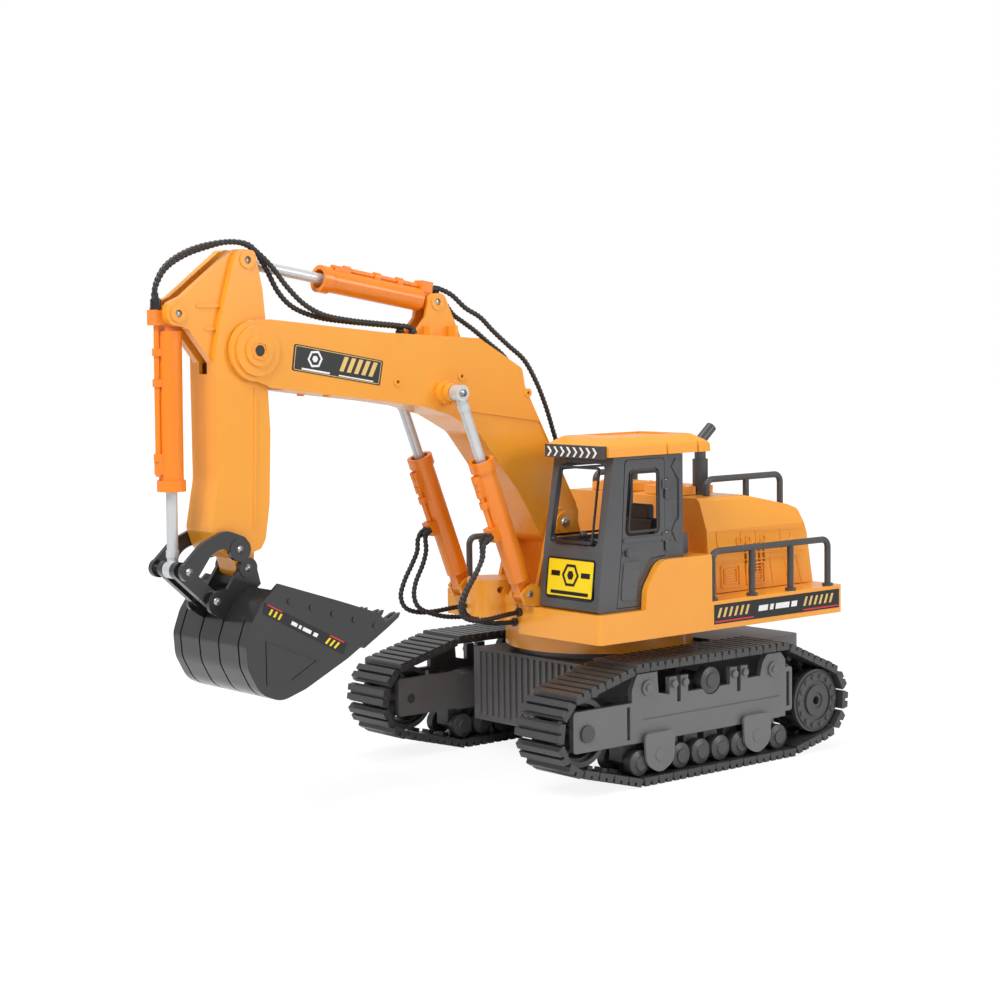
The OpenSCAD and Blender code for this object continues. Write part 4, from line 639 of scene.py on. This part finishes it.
front_plate = rounded(box(40.4, 106.8, 81.6, 130.6), 2.4)
shape("cab_plate", raised([front_plate], ahead(78.9), 1.5), yellow_ink, "house")
shape("cab_plate_rim", ring(inset(front_plate, -0.9), front_plate, ahead(78.9), 1.7),
      black_ink, "house")
on_plate = ahead(80.4)
mark = (61, 120.4)
shape("cab_plate_mark", lambda bm: [
    band(bm, hexagon(*mark, 7.2), hexagon(*mark, 5.4), on_plate, 0.1),
    prism(bm, hexagon(*mark, 2.8), on_plate, 0.1),
    prism(bm, box(44.6, 119.4, 52, 122.4), on_plate, 0.1),
    prism(bm, box(70, 119.4, 77.4, 122.4), on_plate, 0.1),
    prism(bm, box(45, 109.2, 77, 111.2), on_plate, 0.1)], black_ink, "house")

# Light bar: eight pale arrowheads, moulded on the front of the dark bar under the roof's
# edge and painted.
bar_face = 75.36
arrows = [[(y, 188.2), (y + 1.5, 188.2), (y + 4.0, 191.0), (y + 1.5, 193.8), (y, 193.8),
           (y + 2.4, 191.0)] for y in (39.2 + 5.5 * k for k in range(8))]
shape("light_arrows", raised(arrows, lambda a, b, h: (bar_face + h, a, b), 0.5),
      white_ink, "house", 0.1)

# Cab trim: glossy black frames round the windscreen and the side windows, moulded diamonds
# on the rear pillar, and a glossy black patch in the door, painted shade for the handle cup's hollow.
trim = plastic("window_trim", (0.016, 0.016, 0.018), (0.03, 0.03, 0.032),
               rough=0.16, spread=0.06, grain=1400.0, depth=0.00004, coat=0.5)
screen = rounded([(41, 137.4), (81, 137.4), (80, 184.2), (42, 184.2)], 4)
shape("windscreen_frame",
      ring(inset(screen, -1.5), inset(screen, 0.0),
           lambda a, b, h: (77.6 - (b - 135.3) * 9 / 53 + h, a, b), 1.0),
      trim, "house", 0.2)
door_face, pillar_face, far_face = 86.2, 86, 36
pane = rounded([(31, 142.8), (59, 142.8), (55, 181.3), (31, 181.3)], 4)
shape("door_window_frame", ring(inset(pane, -1.3), inset(pane, 0.1), on_side(door_face), 0.7),
      trim, "cab_door", 0.2)
far_pane = rounded([(22, 139.8), (70, 139.8), (62, 181.3), (22, 181.3)], 3)
shape("far_window_frame",
      ring(inset(far_pane, -1.3), inset(far_pane, 0.1),
           lambda a, b, h: (a, far_face - h, b), 0.6), trim, "house", 0.2)
diamonds = [[(18, z), (21.6, z + h / 2), (18, z + h), (14.4, z + h / 2)]
            for z, h in ((137, 13), (176, 10))]
shape("pillar_diamonds", raised(diamonds, on_side(pillar_face), 0.7),
      cab_plastic, "house", 0.2)
# Painted shade: a glossy black patch stands for the dark hollow of the door's handle cup.
shape("door_handle_cup_shade",
      raised([rounded(box(52, 130.4, 62, 136.2), 2.4)], on_side(door_face), 0.3),
      trim, "cab_door")

# Hood mouldings: raised panel lines, hatch catches, louvre frames and a plain star boss, cast
# in one with each side of the hood.
hood_foot, hood_shoulder = 100.3, 138.3
panel_lines = [
    ((-36, 137.6), (-112, 134.5)), ((-37, 124), (-114, 121)), ((-36, 137.6), (-37, 124)),
    ((-57, 136.6), (-57.6, 123)), ((-70, 136.2), (-70.8, 122.6)), ((-92, 135.3), (-93, 121.8)),
    ((-34, 119), (-34, 101.4)), ((-82, 119), (-84, 101.4)), ((-95, 118), (-98, 101.4)),
    ((-106, 118), (-110, 101.4)), ((-34, 119), (-110, 118))]


def on_hood(side):
    """Places a shape that is drawn in X and Z on the hood's side, which leans in above."""
    def place(a, b, h):
        y = 68 - (b - hood_foot) / 19 if b < hood_shoulder else 66 - (b - hood_shoulder) * 7 / 19.7
        return a, side * (y + h - 0.05), b
    return place


def line(bm, place, a, b, width=0.6, high=0.55):
    """A raised straight line from a to b."""
    across = Vector((b[1] - a[1], a[0] - b[0])).normalized() * width / 2
    a, b = Vector(a), Vector(b)
    prism(bm, [tuple(p) for p in (a - across, b - across, b + across, a + across)], place, high)


def mouldings(bm, place):
    """Everything that is raised on one side of the hood."""
    for a, b in panel_lines:
        line(bm, place, a, b)
    for x in (-38, -60):
        outer = rounded(box(x, 117, x - 17, 103), 1.2)
        band(bm, outer, inset(outer, 0.9), place, 1.1)
        inner = rounded(box(x - 3, 114.4, x - 14, 105.6), 0.8)
        band(bm, inner, inset(inner, 0.7), place, 0.9)
        for z in (107.4 + 1.7 * k for k in range(4)):
            line(bm, place, (x - 4.2, z), (x - 12.8, z), 0.7, 0.8)
    for x in (-53, -61, -74):
        catch = rounded([(x, 133), (x, 128.6), (x - 4.4, 128.4), (x - 4.4, 132.8)], 0.8)
        band(bm, catch, inset(catch, 0.8), place, 0.8)
    tip, dent = 4.4, 2.2
    star = [(-102.5 + r * math.cos(k * math.tau / 10), 128.4 + r * math.sin(k * math.tau / 10))
            for k, r in enumerate((tip, dent) * 5)]
    prism(bm, star, place, 0.8)


for way, side in ((1, "left"), (-1, "right")):
    shape("hood_mouldings_" + side, lambda bm: mouldings(bm, on_hood(way)),
          orange_plastic, "house")

# Bucket stickers and cheeks: a printed film below the mouth's edge on each side, with slanted
# yellow bars, two red ends and pale dashes; below it a raised bead stiffens the cheek.
bucket_face = 36.02


def on_strip(s, t):
    """A point of the bucket's sticker, from 0 to 1 along it and across it."""
    high = Vector((271.6, 120.6)).lerp(Vector((218.2, 93.4)), s)
    low = Vector((272.2, 114.4)).lerp(Vector((221.4, 87.4)), s)
    return tuple(high.lerp(low, t))


for way, side in ((1, "left"), (-1, "right")):
    near, above = on_side(way * bucket_face), on_side(way * (bucket_face + 0.12))
    shape("bucket_strip_" + side, raised([box(0, 0, 1, 1, on_strip)], near, 0.14),
          black_ink, "bucket")
    bars = slanted([(s, 0.022) for s in (0.06, 0.115, 0.17, 0.76, 0.815, 0.87)],
                   0.028, 0.84, 0.26, on_strip)
    shape("bucket_strip_bars_" + side, raised(bars, above, 0.08), yellow_ink, "bucket")
    ends = [box(s, 0.02, s + 0.17, 0.13, on_strip) for s in (0.04, 0.79)]
    shape("bucket_strip_ends_" + side, raised(ends, above, 0.08), red_ink, "bucket")
    dashes = slanted([(0.33, 0.07), (0.42, 0.03), (0.47, 0.10), (0.60, 0.05)],
                     0.01, 0.72, 0.4, on_strip)
    shape("bucket_strip_dashes_" + side, raised(dashes, above, 0.08), white_ink, "bucket")
    swell = rounded([(275, 106.5), (246, 94.5), (234.6, 87.4), (235.8, 82.4), (254, 72.6),
                     (275, 71.8)], 5)
    shape("bucket_cheek_" + side, ring(swell, inset(swell, 0.8), near, 0.5),
          bucket_plastic, "bucket", 0.12)
